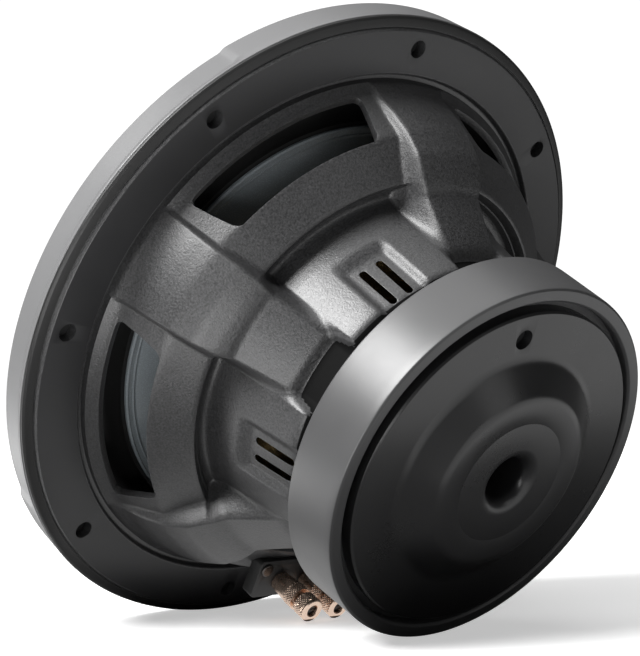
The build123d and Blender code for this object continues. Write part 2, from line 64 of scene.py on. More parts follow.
Corner = tuple[float, float, float]
Point = tuple[float, float]
Piece = bpy.types.Object


class Body(Enum):
    """Bodies of the driver that pieces ride on."""

    FRAME = "frame"
    MOVING = "moving_system"
    CAP_POSITIVE = "push_cap_positive"
    CAP_NEGATIVE = "push_cap_negative"


# ------------------------------------------------------------------ the driver's axis

@dataclass(frozen=True)
class DriverAxis:
    """The driver's own axis, placed in the row frame.

    Attributes:
        origin: centre of the flange's rear face, in metres.
        rearward: unit vector from the flange towards the magnet.
    """

    origin: Vector
    rearward: Vector

    @classmethod
    def from_record(cls, record: dict) -> "DriverAxis":
        """Read the axis from the bolt pattern's mount.

        Args:
            record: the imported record.

        Returns:
            The axis through the middle of the bolt circle.
        """
        mount = next(m for m in record["mounts"] if m["name"] == "flange_bolts")
        return cls(Vector(mount["pos_m"]), Vector(mount["axis"]).normalized())

    def matrix(self) -> Matrix:
        """Transform from the driver's own axes to the row frame."""
        across = Vector((1.0, 0.0, 0.0))
        first_hole = across.cross(self.rearward)
        turned = Matrix((first_hole, across, self.rearward)).transposed().to_4x4()
        return Matrix.Translation(self.origin) @ turned

    def height_of(self, point: Vector) -> float:
        """Distance of a row frame point behind the flange's rear face, in metres."""
        return (point - self.origin).dot(self.rearward)

    def at(self, radius: float, angle: float, height: float) -> Vector:
        """Row frame point from a radius, an angle in degrees and a height, in millimetres."""
        turn = math.radians(angle)
        local = Vector((radius * math.cos(turn), radius * math.sin(turn), height)) * MM
        return self.matrix() @ local


AXIS = DriverAxis.from_record(frame["record"])


# ------------------------------------------------------------------ outlines

def rounded(corners: Sequence[Corner], closed: bool = True, arc_points: int = 5) -> list[Point]:
    """Turn corners with fillet radii into an outline.

    Args:
        corners: (radius, height, fillet) in millimetres, in order.
        closed: whether the last corner joins the first.
        arc_points: points on each fillet.

    Returns:
        Outline points, with every fillet as a tangent arc.
    """
    points: list[Point] = []
    count = len(corners)
    for index, (x, y, fillet) in enumerate(corners):
        here = Vector((x, y))
        ends = not closed and index in (0, count - 1)
        if fillet <= 0.0 or ends:
            points.append((x, y))
            continue
        back = Vector(corners[index - 1][:2]) - here
        ahead = Vector(corners[(index + 1) % count][:2]) - here
        half = back.angle(ahead) / 2
        reach = min(fillet / math.tan(half), back.length * 0.48, ahead.length * 0.48)
        radius = reach * math.tan(half)
        centre = here + (back.normalized() + ahead.normalized()).normalized() * radius / math.sin(half)
        first = (here + back.normalized() * reach - centre).normalized()
        last = (here + ahead.normalized() * reach - centre).normalized()
        for step in range(arc_points):
            spot = centre + first.slerp(last, step / (arc_points - 1), first) * radius
            points.append((spot.x, spot.y))
    return points


def run(start: Point, end: Point, count: int) -> list[Point]:
    """Evenly spaced points from start up to, but not including, end.

    Args:
        start: first point.
        end: point after the last.
        count: number of points.

    Returns:
        The points in order.
    """
    return [(start[0] + (end[0] - start[0]) * i / count, start[1] + (end[1] - start[1]) * i / count)
            for i in range(count)]


def smooth_step(value: np.ndarray) -> np.ndarray:
    """Ease from 0 to 1 as the value does, level at both ends."""
    held = np.clip(value, 0.0, 1.0)
    return held * held * (3.0 - 2.0 * held)


# ------------------------------------------------------------------ modelling moves

class Bench:
    """Modelling moves that all the pieces share, made with Blender's own operators."""

    @staticmethod
    def rest() -> None:
        """Leave edit mode and deselect everything."""
        if bpy.context.object is not None and bpy.context.object.mode != "OBJECT":
            bpy.ops.object.mode_set(mode="OBJECT")
        bpy.ops.object.select_all(action="DESELECT")

    @staticmethod
    def pick(*pieces: Piece) -> None:
        """Select only these pieces, with the first one active."""
        Bench.rest()
        for piece in pieces:
            piece.select_set(True)
        bpy.context.view_layer.objects.active = pieces[0]

    @staticmethod
    def edit(piece: Piece, mode: str = "VERT") -> None:
        """Enter edit mode on one piece with nothing selected."""
        Bench.pick(piece)
        bpy.ops.object.mode_set(mode="EDIT")
        bpy.ops.mesh.select_mode(type=mode)
        bpy.ops.mesh.select_all(action="DESELECT")

    @staticmethod
    def name(piece: Piece, name: str) -> Piece:
        """Name a piece and its mesh."""
        piece.name = name
        piece.data.name = name
        return piece

    @staticmethod
    def outline(name: str, points: Sequence[Point], closed: bool) -> Piece:
        """Draw an outline by extruding one vertex from point to point.

        Args:
            name: the new piece's name.
            points: (radius, height) in millimetres.
            closed: whether the outline returns to its first point.

        Returns:
            The piece, in edit mode with all of it selected.
        """
        Bench.rest()
        bpy.ops.mesh.primitive_plane_add(size=MM)
        piece = Bench.name(bpy.context.object, name)
        bpy.ops.object.mode_set(mode="EDIT")
        bpy.ops.mesh.select_mode(type="VERT")
        bpy.ops.mesh.select_all(action="SELECT")
        bpy.ops.mesh.merge(type="CENTER")
        bpy.ops.transform.translate(value=(points[0][0] * MM, 0.0, points[0][1] * MM))
        route = list(points[1:]) + ([points[0]] if closed else [])
        here = points[0]
        for there in route:
            step = ((there[0] - here[0]) * MM, 0.0, (there[1] - here[1]) * MM)
            bpy.ops.mesh.extrude_region_move(TRANSFORM_OT_translate={"value": step})
            here = there
        bpy.ops.mesh.select_all(action="SELECT")
        bpy.ops.mesh.remove_doubles(threshold=1e-7)
        bpy.ops.mesh.select_all(action="SELECT")
        return piece

    @staticmethod
    def spin(spans: Iterable[tuple[int, float]]) -> None:
        """Spin the selected outline about Z, then merge and turn all normals outwards.

        Args:
            spans: (steps, degrees), one after another.
        """
        for steps, degrees in spans:
            bpy.ops.mesh.spin(steps=steps, angle=math.radians(degrees), center=(0, 0, 0), axis=(0, 0, 1))
        bpy.ops.mesh.select_all(action="SELECT")
        bpy.ops.mesh.remove_doubles(threshold=2e-6)
        bpy.ops.mesh.normals_make_consistent(inside=False)
        bpy.ops.object.mode_set(mode="OBJECT")

    @staticmethod
    def lathe(name: str, points: Sequence[Point], steps: int = 192, closed: bool = True) -> Piece:
        """Turn an outline all the way round the axis.

        Args:
            name: the new piece's name.
            points: (radius, height) in millimetres.
            steps: number of steps round.
            closed: whether the outline is a closed loop.

        Returns:
            The piece, still about the driver's own axis.
        """
        piece = Bench.outline(name, points, closed)
        Bench.spin([(steps, FULL_TURN)])
        return piece

    @staticmethod
    def modify(piece: Piece, kind: str, **settings: object) -> None:
        """Add a modifier with these settings and apply it.

        Args:
            piece: the piece to change.
            kind: Blender's type name of the modifier.
            **settings: its properties.
        """
        Bench.pick(piece)
        modifier = piece.modifiers.new(kind.title(), kind)
        for key, value in settings.items():
            setattr(modifier, key, value)
        bpy.ops.object.modifier_apply(modifier=modifier.name)

    @staticmethod
    def cut(piece: Piece, cutters: Sequence[Piece]) -> None:
        """Cut shapes out of a piece and throw them away.

        Args:
            piece: the piece to cut.
            cutters: closed pieces that don't touch each other.
        """
        Bench.pick(*cutters)
        if len(cutters) > 1:
            bpy.ops.object.join()
        cutter = bpy.context.view_layer.objects.active
        Bench.modify(piece, "BOOLEAN", operation="DIFFERENCE", solver="MANIFOLD", object=cutter)
        bpy.data.objects.remove(cutter)

    @staticmethod
    def ease(piece: Piece, width: float, degrees: float = 40.0, segments: int = 2) -> None:
        """Round a piece's sharp edges.

        Args:
            piece: the piece to change.
            width: width of the rounding, in millimetres.
            degrees: edges sharper than this are rounded.
            segments: faces across the rounding.
        """
        Bench.modify(piece, "BEVEL", width=width * MM, segments=segments, limit_method="ANGLE",
                     angle_limit=math.radians(degrees), use_clamp_overlap=True)

    @staticmethod
    def copies(piece: Piece, count: int, first: float = 0.0) -> list[Piece]:
        """Turn a piece to a first angle and copy it round the axis.

        Args:
            piece: the piece to copy, which becomes the first.
            count: how many there are in all.
            first: angle of the first, in degrees.

        Returns:
            All of them, each with its own mesh.
        """
        made = []
        for index in range(count):
            copy = piece if index == count - 1 else Bench.twin(piece, f"{piece.name}_{index}")
            turn = Matrix.Rotation(math.radians(first + FULL_TURN * index / count), 4, "Z")
            copy.data.transform(turn)
            made.append(copy)
        return made

    @staticmethod
    def twin(piece: Piece, name: str) -> Piece:
        """Copy a piece with its own mesh, free of any parent."""
        copy = piece.copy()
        copy.data = piece.data.copy()
        for key in list(copy.keys()):
            del copy[key]
        copy.parent = None
        bpy.context.scene.collection.objects.link(copy)
        return Bench.name(copy, name)

    @staticmethod
    def places(piece: Piece) -> np.ndarray:
        """Places of a piece's vertices in metres, one row a vertex."""
        flat = np.empty(len(piece.data.vertices) * 3, np.float32)
        piece.data.vertices.foreach_get("co", flat)
        return flat.reshape(-1, 3).astype(float)

    @staticmethod
    def reshape(piece: Piece, rule: Callable[[np.ndarray], np.ndarray]) -> None:
        """Move a piece's vertices by a rule on their places in millimetres.

        Args:
            piece: the piece to change.
            rule: takes and returns an array of places, one row a vertex.
        """
        places = rule(Bench.places(piece) / MM)
        piece.data.vertices.foreach_set("co", (places * MM).astype(np.float32).ravel())
        piece.data.update()

    @staticmethod
    def seat(piece: Piece, shift: Vector = Vector((0.0, 0.0, 0.0)), smooth: float = 35.0) -> Piece:
        """Lay a piece in the row frame and shade it.

        Args:
            piece: a piece drawn about the driver's own axis.
            shift: a move in the driver's own axes first, in millimetres.
            smooth: edges flatter than this, in degrees, are shaded smooth.

        Returns:
            The same piece, with its object at the origin.
        """
        piece.matrix_world = AXIS.matrix() @ Matrix.Translation(shift * MM)
        Bench.pick(piece)
        bpy.ops.object.transform_apply(location=True, rotation=True, scale=True)
        return Bench.shade(piece, smooth)

    @staticmethod
    def shade(piece: Piece, degrees: float = 35.0) -> Piece:
        """Shade a piece smooth except at edges sharper than so many degrees."""
        Bench.pick(piece)
        bpy.ops.object.shade_smooth_by_angle(angle=math.radians(degrees))
        return piece

    @staticmethod
    def bar(radius: float, circle: float, low: float, high: float) -> Piece:
        """Round bar parallel to the axis, to cut a hole with.

        Args:
            radius: the bar's radius.
            circle: its distance from the axis.
            low: its front end.
            high: its rear end.

        Returns:
            The bar, at angle 0.
        """
        Bench.rest()
        bpy.ops.mesh.primitive_cylinder_add(
            vertices=40, radius=radius * MM, depth=(high - low) * MM,
            location=(circle * MM, 0, (low + high) / 2 * MM))
        bpy.ops.object.transform_apply(location=True, rotation=True, scale=True)
        return Bench.name(bpy.context.object, "hole_cutter")

    @staticmethod
    def edges(piece: Piece, rule: Callable[[Vector, Vector], bool]) -> None:
        """Enter edit mode with only those edges selected that a rule on their two ends chooses."""
        Bench.edit(piece, "EDGE")
        bpy.ops.object.mode_set(mode="OBJECT")
        for edge in piece.data.edges:
            edge.select = rule(*(piece.data.vertices[index].co for index in edge.vertices))
        bpy.ops.object.mode_set(mode="EDIT")

    @staticmethod
    def borrowed(node: str, name: str, merge: float = 0.002) -> Piece:
        """Copy a construction node as a merged mesh that can be reworked.

        Args:
            node: name of the node.
            name: name of the copy.
            merge: distance below which points are one, in millimetres.

        Returns:
            The copy, in the row frame.
        """
        copy = Bench.twin(frame["nodes"][node], name)
        copy.data.materials.clear()
        Bench.edit(copy)
        bpy.ops.mesh.select_all(action="SELECT")
        bpy.ops.mesh.remove_doubles(threshold=merge * MM)
        bpy.ops.mesh.dissolve_limited(angle_limit=math.radians(1.0))
        bpy.ops.object.mode_set(mode="OBJECT")
        return copy


def settle(piece: Piece, body: Body, finish: "Finish", slot: str, *nodes: str) -> None:
    """Give a finished piece its body and its finish, and hide the nodes that it stands for.

    Args:
        piece: the finished piece, in the row frame.
        body: what it rides on.
        finish: its material.
        slot: the record's material slot; not used.
        *nodes: construction nodes that it stands for.
    """
    dress(piece, finish)
    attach(piece, body.value)
    if nodes:
        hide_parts(*nodes)
    LOG.info("%s: %d faces on %s", piece.name, len(piece.data.polygons), body.value)


def settle_soft(piece: Piece, moving: Body, finish: "Finish", node: str,
                share: Callable[[np.ndarray], np.ndarray], start: Vector, end: Vector) -> None:
    """Give a finished soft piece its finish, bake its place into its mesh and hide its node; how far each
    part would follow a moving body is worked out but not applied.

    Args:
        piece: the finished piece, with its place in its mesh.
        moving: the body that one end would follow, named only in the log.
        finish: its material.
        node: the construction node that it stands for.
        share: takes places in the row frame, in metres, and returns how far each follows the body.
        start: a point that would stay with the frame; not used.
        end: a point that would go with the body; not used.
    """
    dress(piece, finish)
    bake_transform(piece)
    weights = smooth_step(share(Bench.places(piece))).astype(np.float32)
    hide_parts(node)
    LOG.info("%s: %d faces between frame and %s", piece.name, len(piece.data.polygons), moving.value)


def reuse(node: str, name: str, width: float, finish: "Finish", slot: str) -> None:
    """Let a copy of a frame node with rounded edges stand for it.

    Args:
        node: name of the node.
        name: name of the copy.
        width: width of the rounding, in millimetres.
        finish: its material.
        slot: the record's material slot.
    """
    piece = Bench.borrowed(node, name)
    Bench.ease(piece, width)
    settle(Bench.shade(piece), Body.FRAME, finish, slot, node)


def radius_from_axis(places: np.ndarray) -> np.ndarray:
    """Distance of row frame places from the driver's axis, in millimetres."""
    offset = places - np.array(AXIS.origin)
    along = offset @ np.array(AXIS.rearward)
    return np.linalg.norm(offset - np.outer(along, np.array(AXIS.rearward)), axis=1) / MM


# ------------------------------------------------------------------ finishes

class Shade:
    """A shader socket on which Python's arithmetic adds Math nodes."""

    def __init__(self, graph: "Graph", socket: bpy.types.NodeSocket) -> None:
        """Wrap a socket of a graph."""
        self.graph = graph
        self.socket = socket

    def _math(self, operation: str, first: "Shade | float", second: "Shade | float") -> "Shade":
        """Add one Math node on two values."""
        return self.graph.node("ShaderNodeMath", {"operation": operation}, {0: first, 1: second})

    def __add__(self, other: "Shade | float") -> "Shade":
        """Add."""
        return self._math("ADD", self, other)

    def __sub__(self, other: "Shade | float") -> "Shade":
        """Subtract."""
        return self._math("SUBTRACT", self, other)

    def __rsub__(self, other: "Shade | float") -> "Shade":
        """Subtract from."""
        return self._math("SUBTRACT", other, self)

    def __mul__(self, other: "Shade | float") -> "Shade":
        """Multiply."""
        return self._math("MULTIPLY", self, other)

    __radd__ = __add__
    __rmul__ = __mul__


class Graph:
    """Node graph of one material or of the world."""

    def __init__(self, owner: bpy.types.Material | bpy.types.World) -> None:
        """Empty the owner's graph."""
        owner.use_nodes = True
        self.owner = owner
        self.tree = owner.node_tree
        self.tree.nodes.clear()

    @cached_property
    def place(self) -> "Shade":
        """Object coordinates."""
        return self.node("ShaderNodeTexCoord", output="Object")

    def node(self, kind: str, settings: dict | None = None, sockets: dict | None = None,
             output: int | str = 0) -> Shade:
        """Add one node.

        Args:
            kind: Blender's name of the node type.
            settings: its properties, and "stops" for a ramp.
            sockets: values or links, by socket name or number.
            output: which output to return.

        Returns:
            That output, wrapped.
        """
        made = self.tree.nodes.new(kind)
        for key, value in (settings or {}).items():
            if key == "stops":
                self._stops(made.color_ramp, value)
            else:
                setattr(made, key, value)
        for key, value in (sockets or {}).items():
            if isinstance(value, Shade):
                self.tree.links.new(value.socket, made.inputs[key])
            else:
                made.inputs[key].default_value = value
        return Shade(self, made.outputs[output] if len(made.outputs) else made.inputs[0])

    @staticmethod
    def _stops(ramp: bpy.types.ColorRamp, stops: Sequence[tuple[float, float]]) -> None:
        """Set a grey ramp's stops from (position, value) pairs."""
        while len(ramp.elements) < len(stops):
            ramp.elements.new(1.0)
        for element, (position, value) in zip(ramp.elements, stops):
            element.position = position
            element.color = (value, value, value, 1.0)

    def noise(self, grain: float, detail: float = 2.0, place: Shade | None = None) -> Shade:
        """Soft noise whose grains are so many millimetres wide."""
        return self.node("ShaderNodeTexNoise", None, {
            "Vector": place or self.place, "Scale": 1.0 / (grain * MM), "Detail": detail, "Roughness": 0.6,
        })

    def ramp(self, value: Shade, *stops: tuple[float, float]) -> Shade:
        """Send a value through a ramp of (position, value) stops."""
        return self.node("ShaderNodeValToRGB", {"stops": stops}, {"Fac": value})

    def blend(self, share: Shade, low: Sequence[float], high: Sequence[float]) -> Shade:
        """Mix two colours by a share."""
        return self.node("ShaderNodeMix", {"data_type": "RGBA"}, {
            0: share, 6: (*low, 1.0), 7: (*high, 1.0)}, output=2)

    def spread(self, share: Shade, colour: Sequence[float], low: float, high: float) -> Shade:
        """Vary a colour between two strengths of itself by a share."""
        return self.blend(share, tint(colour, low), tint(colour, high))

    def bump(self, height: Shade, depth: float, strength: float = 1.0) -> Shade:
        """Raise a surface by a height of so many millimetres."""
        return self.node("ShaderNodeBump", None, {
            "Height": height, "Distance": depth * MM, "Strength": strength})

    def along(self) -> Shade:
        """Height behind the flange, in metres."""
        dot = self.node("ShaderNodeVectorMath", {"operation": "DOT_PRODUCT"},
                        {0: self.place, 1: tuple(AXIS.rearward)}, output="Value")
        return dot - AXIS.origin.dot(AXIS.rearward)

    def surface(self, fixed: dict, varied: dict) -> bpy.types.Material:
        """Finish with a principled surface.

        Args:
            fixed: socket values that are the same all over.
            varied: socket values or links that change over the surface.

        Returns:
            The material.
        """
        shader = self.node("ShaderNodeBsdfPrincipled", None, {**fixed, **varied})
        self.node("ShaderNodeOutputMaterial", None, {"Surface": shader})
        return self.owner

    def by_ray(self, seen: Shade, felt: Shade) -> Shade:
        """Show one shader to the camera and the other to all other light."""
        ray = self.node("ShaderNodeLightPath", output="Is Camera Ray")
        return self.node("ShaderNodeMixShader", None, {0: ray, 1: felt, 2: seen})


def tint(colour: Sequence[float], factor: float) -> tuple[float, float, float]:
    """A colour made lighter or darker by a factor."""
    return tuple(min(1.0, part * factor) for part in colour)


@dataclass(frozen=True)
class Finish:
    """What a surface looks like. Each kind builds its own nodes."""

    name: str

    def build(self, graph: Graph) -> bpy.types.Material:
        """Make the material on an empty graph."""
        raise NotImplementedError

    def material(self) -> bpy.types.Material:
        """The finish's material, made once."""
        return bpy.data.materials.get(self.name) or self.build(Graph(bpy.data.materials.new(self.name)))


@dataclass(frozen=True)
class PowderCoat(Finish):
    """Fine grained powder coat on a casting."""

    colour: tuple[float, float, float]
    grain: float = 0.75
    depth: float = 0.05
    rough: float = 0.45
    speckle: float = 0.6
    gloss: float = 0.6

    def build(self, graph: Graph) -> bpy.types.Material:
        """Speckle in colour, gloss and relief, with slow changes of gloss over the casting."""
        fine = graph.noise(self.grain, 3.0)
        coarse = graph.noise(self.grain * 3.1, 2.0)
        slow = graph.noise(38.0, 1.0)
        grains = graph.ramp(fine, (0.34, 0.0), (0.68, 1.0))
        colour = graph.spread(grains, self.colour, 1.0 - self.speckle, 1.0 + self.speckle)
        rough = (fine - 0.5) * 0.25 + (slow - 0.5) * 0.16 + self.rough
        normal = graph.bump(fine * 0.7 + coarse * 0.5, self.depth * 6.0, 0.55)
        return graph.surface({"Specular IOR Level": self.gloss}, {
            "Base Color": colour, "Roughness": rough, "Normal": normal})


@dataclass(frozen=True)
class SatinPaint(Finish):
    """Smooth satin paint: a fine tooth in relief, and colour and gloss that drift slowly."""

    colour: tuple[float, float, float]
    rough: float = 0.42
    depth: float = 0.02
    gloss: float = 0.5
    tooth: float = 1.6
    relief: float = 0.4
    drift: Point = (30.0, 2.0)
    bloom: Point = (0.82, 1.2)
    sheen: float = 0.14

    def build(self, graph: Graph) -> bpy.types.Material:
        """Fine tooth in relief, slow bloom in colour and gloss."""
        fine = graph.noise(self.tooth, 2.0)
        slow = graph.noise(*self.drift)
        rough = (fine - 0.5) * 0.08 + (slow - 0.5) * self.sheen + self.rough
        return graph.surface({"Specular IOR Level": self.gloss}, {
            "Base Color": graph.spread(slow, self.colour, *self.bloom), "Roughness": rough,
            "Normal": graph.bump(fine, self.depth, self.relief)})


@dataclass(frozen=True)
class Rubber(SatinPaint):
    """Moulded rubber, with a finer and deeper tooth than paint and a soft bloom."""

    rough: float = 0.5
    tooth: float = 0.3
    relief: float = 0.5
    drift: Point = (26.0, 3.0)
    bloom: Point = (0.92, 1.08)
    sheen: float = 0.16


@dataclass(frozen=True)
class Plate(Finish):
    """Plated or bare metal, with fine marks along it."""

    colour: tuple[float, float, float]
    rough: float = 0.2
    marks: float = 0.02

    def build(self, graph: Graph) -> bpy.types.Material:
        """Metal with soft stains and fine turning marks along the axis."""
        stain = graph.noise(3.5, 3.0)
        rings = graph.node("ShaderNodeTexNoise", {"noise_dimensions": "1D"}, {
            "W": graph.along(), "Scale": 1.0 / (0.12 * MM), "Detail": 2.0})
        colour = graph.spread(stain, self.colour, 0.84, 1.08)
        rough = (stain - 0.5) * 0.22 + self.rough
        return graph.surface({"Metallic": 1.0}, {
            "Base Color": colour, "Roughness": rough, "Normal": graph.bump(rings, self.marks, 0.35)})


@dataclass(frozen=True)
class GlossPoly(Finish):
    """Glossy moulded polypropylene."""

    colour: tuple[float, float, float]
    rough: float = 0.16

    def build(self, graph: Graph) -> bpy.types.Material:
        """Dark mica flakes under gloss, with slight flow marks."""
        flakes = graph.ramp(graph.noise(0.35, 1.0), (0.5, 0.0), (0.8, 1.0))
        slow = graph.noise(22.0, 2.0)
        colour = graph.spread(flakes, self.colour, 1.0, 1.5)
        rough = (slow - 0.5) * 0.12 + self.rough
        return graph.surface({"Specular IOR Level": 0.5}, {
            "Base Color": colour, "Roughness": rough, "Normal": graph.bump(slow, 0.15, 0.3)})


@dataclass(frozen=True)
class Cloth(Finish):
    """Resin dipped plain weave."""

    colour: tuple[float, float, float]
    pitch: float = 0.55

    def build(self, graph: Graph) -> bpy.types.Material:
        """Two crossing sets of threads in colour and relief."""
        threads = {"Vector": graph.place, "Scale": math.pi / (20.0 * self.pitch * MM), "Distortion": 0.6}
        warp, weft = (graph.node("ShaderNodeTexWave", {"bands_direction": direction}, threads, output=1)
                      for direction in ("X", "Z"))
        weave = warp * weft
        stain = graph.noise(9.0, 3.0)
        colour = graph.spread(weave * 0.6 + stain * 0.4, self.colour, 0.55, 1.15)
        return graph.surface({}, {
            "Base Color": colour, "Roughness": 0.9 - stain * 0.2, "Normal": graph.bump(weave, 0.12, 0.7)})


@dataclass(frozen=True)
class WoundWire(Finish):
    """Close wound enamelled wire."""

    colour: tuple[float, float, float]
    wire: float = 0.45

    def build(self, graph: Graph) -> bpy.types.Material:
        """A ridge for each turn of wire, with painted shade darkening the colour between turns."""
        turns = graph.node("ShaderNodeMath", {"operation": "PINGPONG"}, {
            0: graph.along(), 1: self.wire * MM / 2}) * (2.0 / (self.wire * MM))
        stain = graph.noise(5.0, 2.0)
        # Painted shade: the colour darkens between turns of wire.
        colour = graph.spread(turns, self.colour, 0.35, 1.0)
        return graph.surface({"Metallic": 0.85}, {
            "Base Color": colour, "Roughness": stain * 0.2 + 0.22, "Normal": graph.bump(turns, 0.15, 0.8)})


@dataclass(frozen=True)
class Ceramic(Finish):
    """Sintered ferrite with ground faces."""

    colour: tuple[float, float, float]

    def build(self, graph: Graph) -> bpy.types.Material:
        """Dark mottled grain."""
        grain = graph.noise(0.9, 4.0)
        colour = graph.spread(grain, self.colour, 0.6, 1.5)
        return graph.surface({}, {
            "Base Color": colour, "Roughness": grain * 0.25 + 0.5, "Normal": graph.bump(grain, 0.08, 0.5)})


@dataclass(frozen=True)
class Braid(Finish):
    """Flat braided tinsel."""

    colour: tuple[float, float, float]

    def build(self, graph: Graph) -> bpy.types.Material:
        """Fine crossing strands with a metal glint."""
        strands = graph.node("ShaderNodeTexVoronoi", None, {"Vector": graph.place, "Scale": 1.0 / (0.5 * MM)})
        colour = graph.spread(graph.ramp(strands, (0.1, 1.0), (0.7, 0.0)), self.colour, 0.35, 1.0)
        return graph.surface({"Metallic": 0.8}, {
            "Base Color": colour, "Roughness": strands * 0.3 + 0.35, "Normal": graph.bump(strands, 0.2, 0.8)})


CAST_BLACK = PowderCoat("cast_powder_coat", (0.030, 0.030, 0.031), rough=0.42, gloss=0.75)
FLANGE_BLACK = SatinPaint("flange_satin", (0.018, 0.018, 0.019), rough=0.46, depth=0.03)
# Near black painted shade for the basket's neck between the arms' feet and the boot.
NECK_PAINTED_SHADE = SatinPaint("neck_painted_shade", (0.004, 0.004, 0.004), rough=0.8, gloss=0.1)
TRIM_GREY = Rubber("trim_grey_rubber", (0.150, 0.150, 0.152), rough=0.38, bloom=(0.97, 1.03), gloss=0.7)
# Near black painted shade for the trim ring's rear face, which shows through the bolt holes.
TRIM_REAR_PAINTED_SHADE = Rubber("trim_rear_painted_shade", (0.006, 0.006, 0.006), rough=0.8)
BOOT_GREY = Rubber("boot_grey_rubber", (0.060, 0.060, 0.061), rough=0.38, bloom=(0.96, 1.04), gloss=0.7)
# Painted shade: the boot's rubber, darker, for its rear rim and lip.
BOOT_LIP_PAINTED_SHADE = Rubber("boot_lip_painted_shade", (0.040, 0.040, 0.041), rough=0.4)
GASKET_BLACK = Rubber("gasket_black_rubber", (0.010, 0.010, 0.010), rough=0.46, tooth=0.6, depth=0.05)
SURROUND_BLACK = Rubber("surround_black_rubber", (0.012, 0.012, 0.012), rough=0.36)
PLATE_BLACK = SatinPaint("plate_satin_black", (0.009, 0.009, 0.0095), rough=0.3)
BARE_STEEL = Plate("zinc_steel", (0.62, 0.62, 0.60), rough=0.28)
SPRING_STEEL = Plate("spring_steel", (0.55, 0.55, 0.56), rough=0.22)
ROSE_GOLD = Plate("rose_gold_plate", (0.95, 0.71, 0.57), rough=0.26, marks=0.004)
DARK_SCREW = Plate("darkened_screw", (0.10, 0.09, 0.085), rough=0.3)
FERRITE = Ceramic("sintered_ferrite", (0.055, 0.055, 0.057))
CONE_POLY = GlossPoly("cone_gloss_poly", (0.185, 0.208, 0.222), rough=0.24)
AMBER_CLOTH = Cloth("spider_amber_cloth", (0.55, 0.38, 0.16))
FORMER_ALUMINIUM = Plate("former_aluminium", (0.80, 0.80, 0.79), rough=0.32)
COPPER = WoundWire("copper_winding", (0.80, 0.36, 0.17))
NYLON = SatinPaint("black_nylon", (0.016, 0.016, 0.016), rough=0.55, depth=0.06)
TINSEL = Braid("tinsel_braid", (0.78, 0.52, 0.36))


def paint(piece: Piece, finish: Finish, chosen: Callable[[float, float], bool]) -> None:
    """Give some of a piece's faces a second material.

    Args:
        piece: a piece in the row frame that has its first material.
        finish: the second material.
        chosen: takes a face's radius and height in millimetres and says whether it gets it.
    """
    piece.data.materials.append(finish.material())
    for face in piece.data.polygons:
        height = AXIS.height_of(face.center)
        radius = (face.center - AXIS.origin - AXIS.rearward * height).length
        if chosen(radius / MM, height / MM):
            face.material_index = len(piece.data.materials) - 1


def dress(piece: Piece, finish: Finish) -> None:
    """Give a piece one material all over."""
    piece.data.materials.clear()
    piece.data.materials.append(finish.material())


# ------------------------------------------------------------------ cast basket

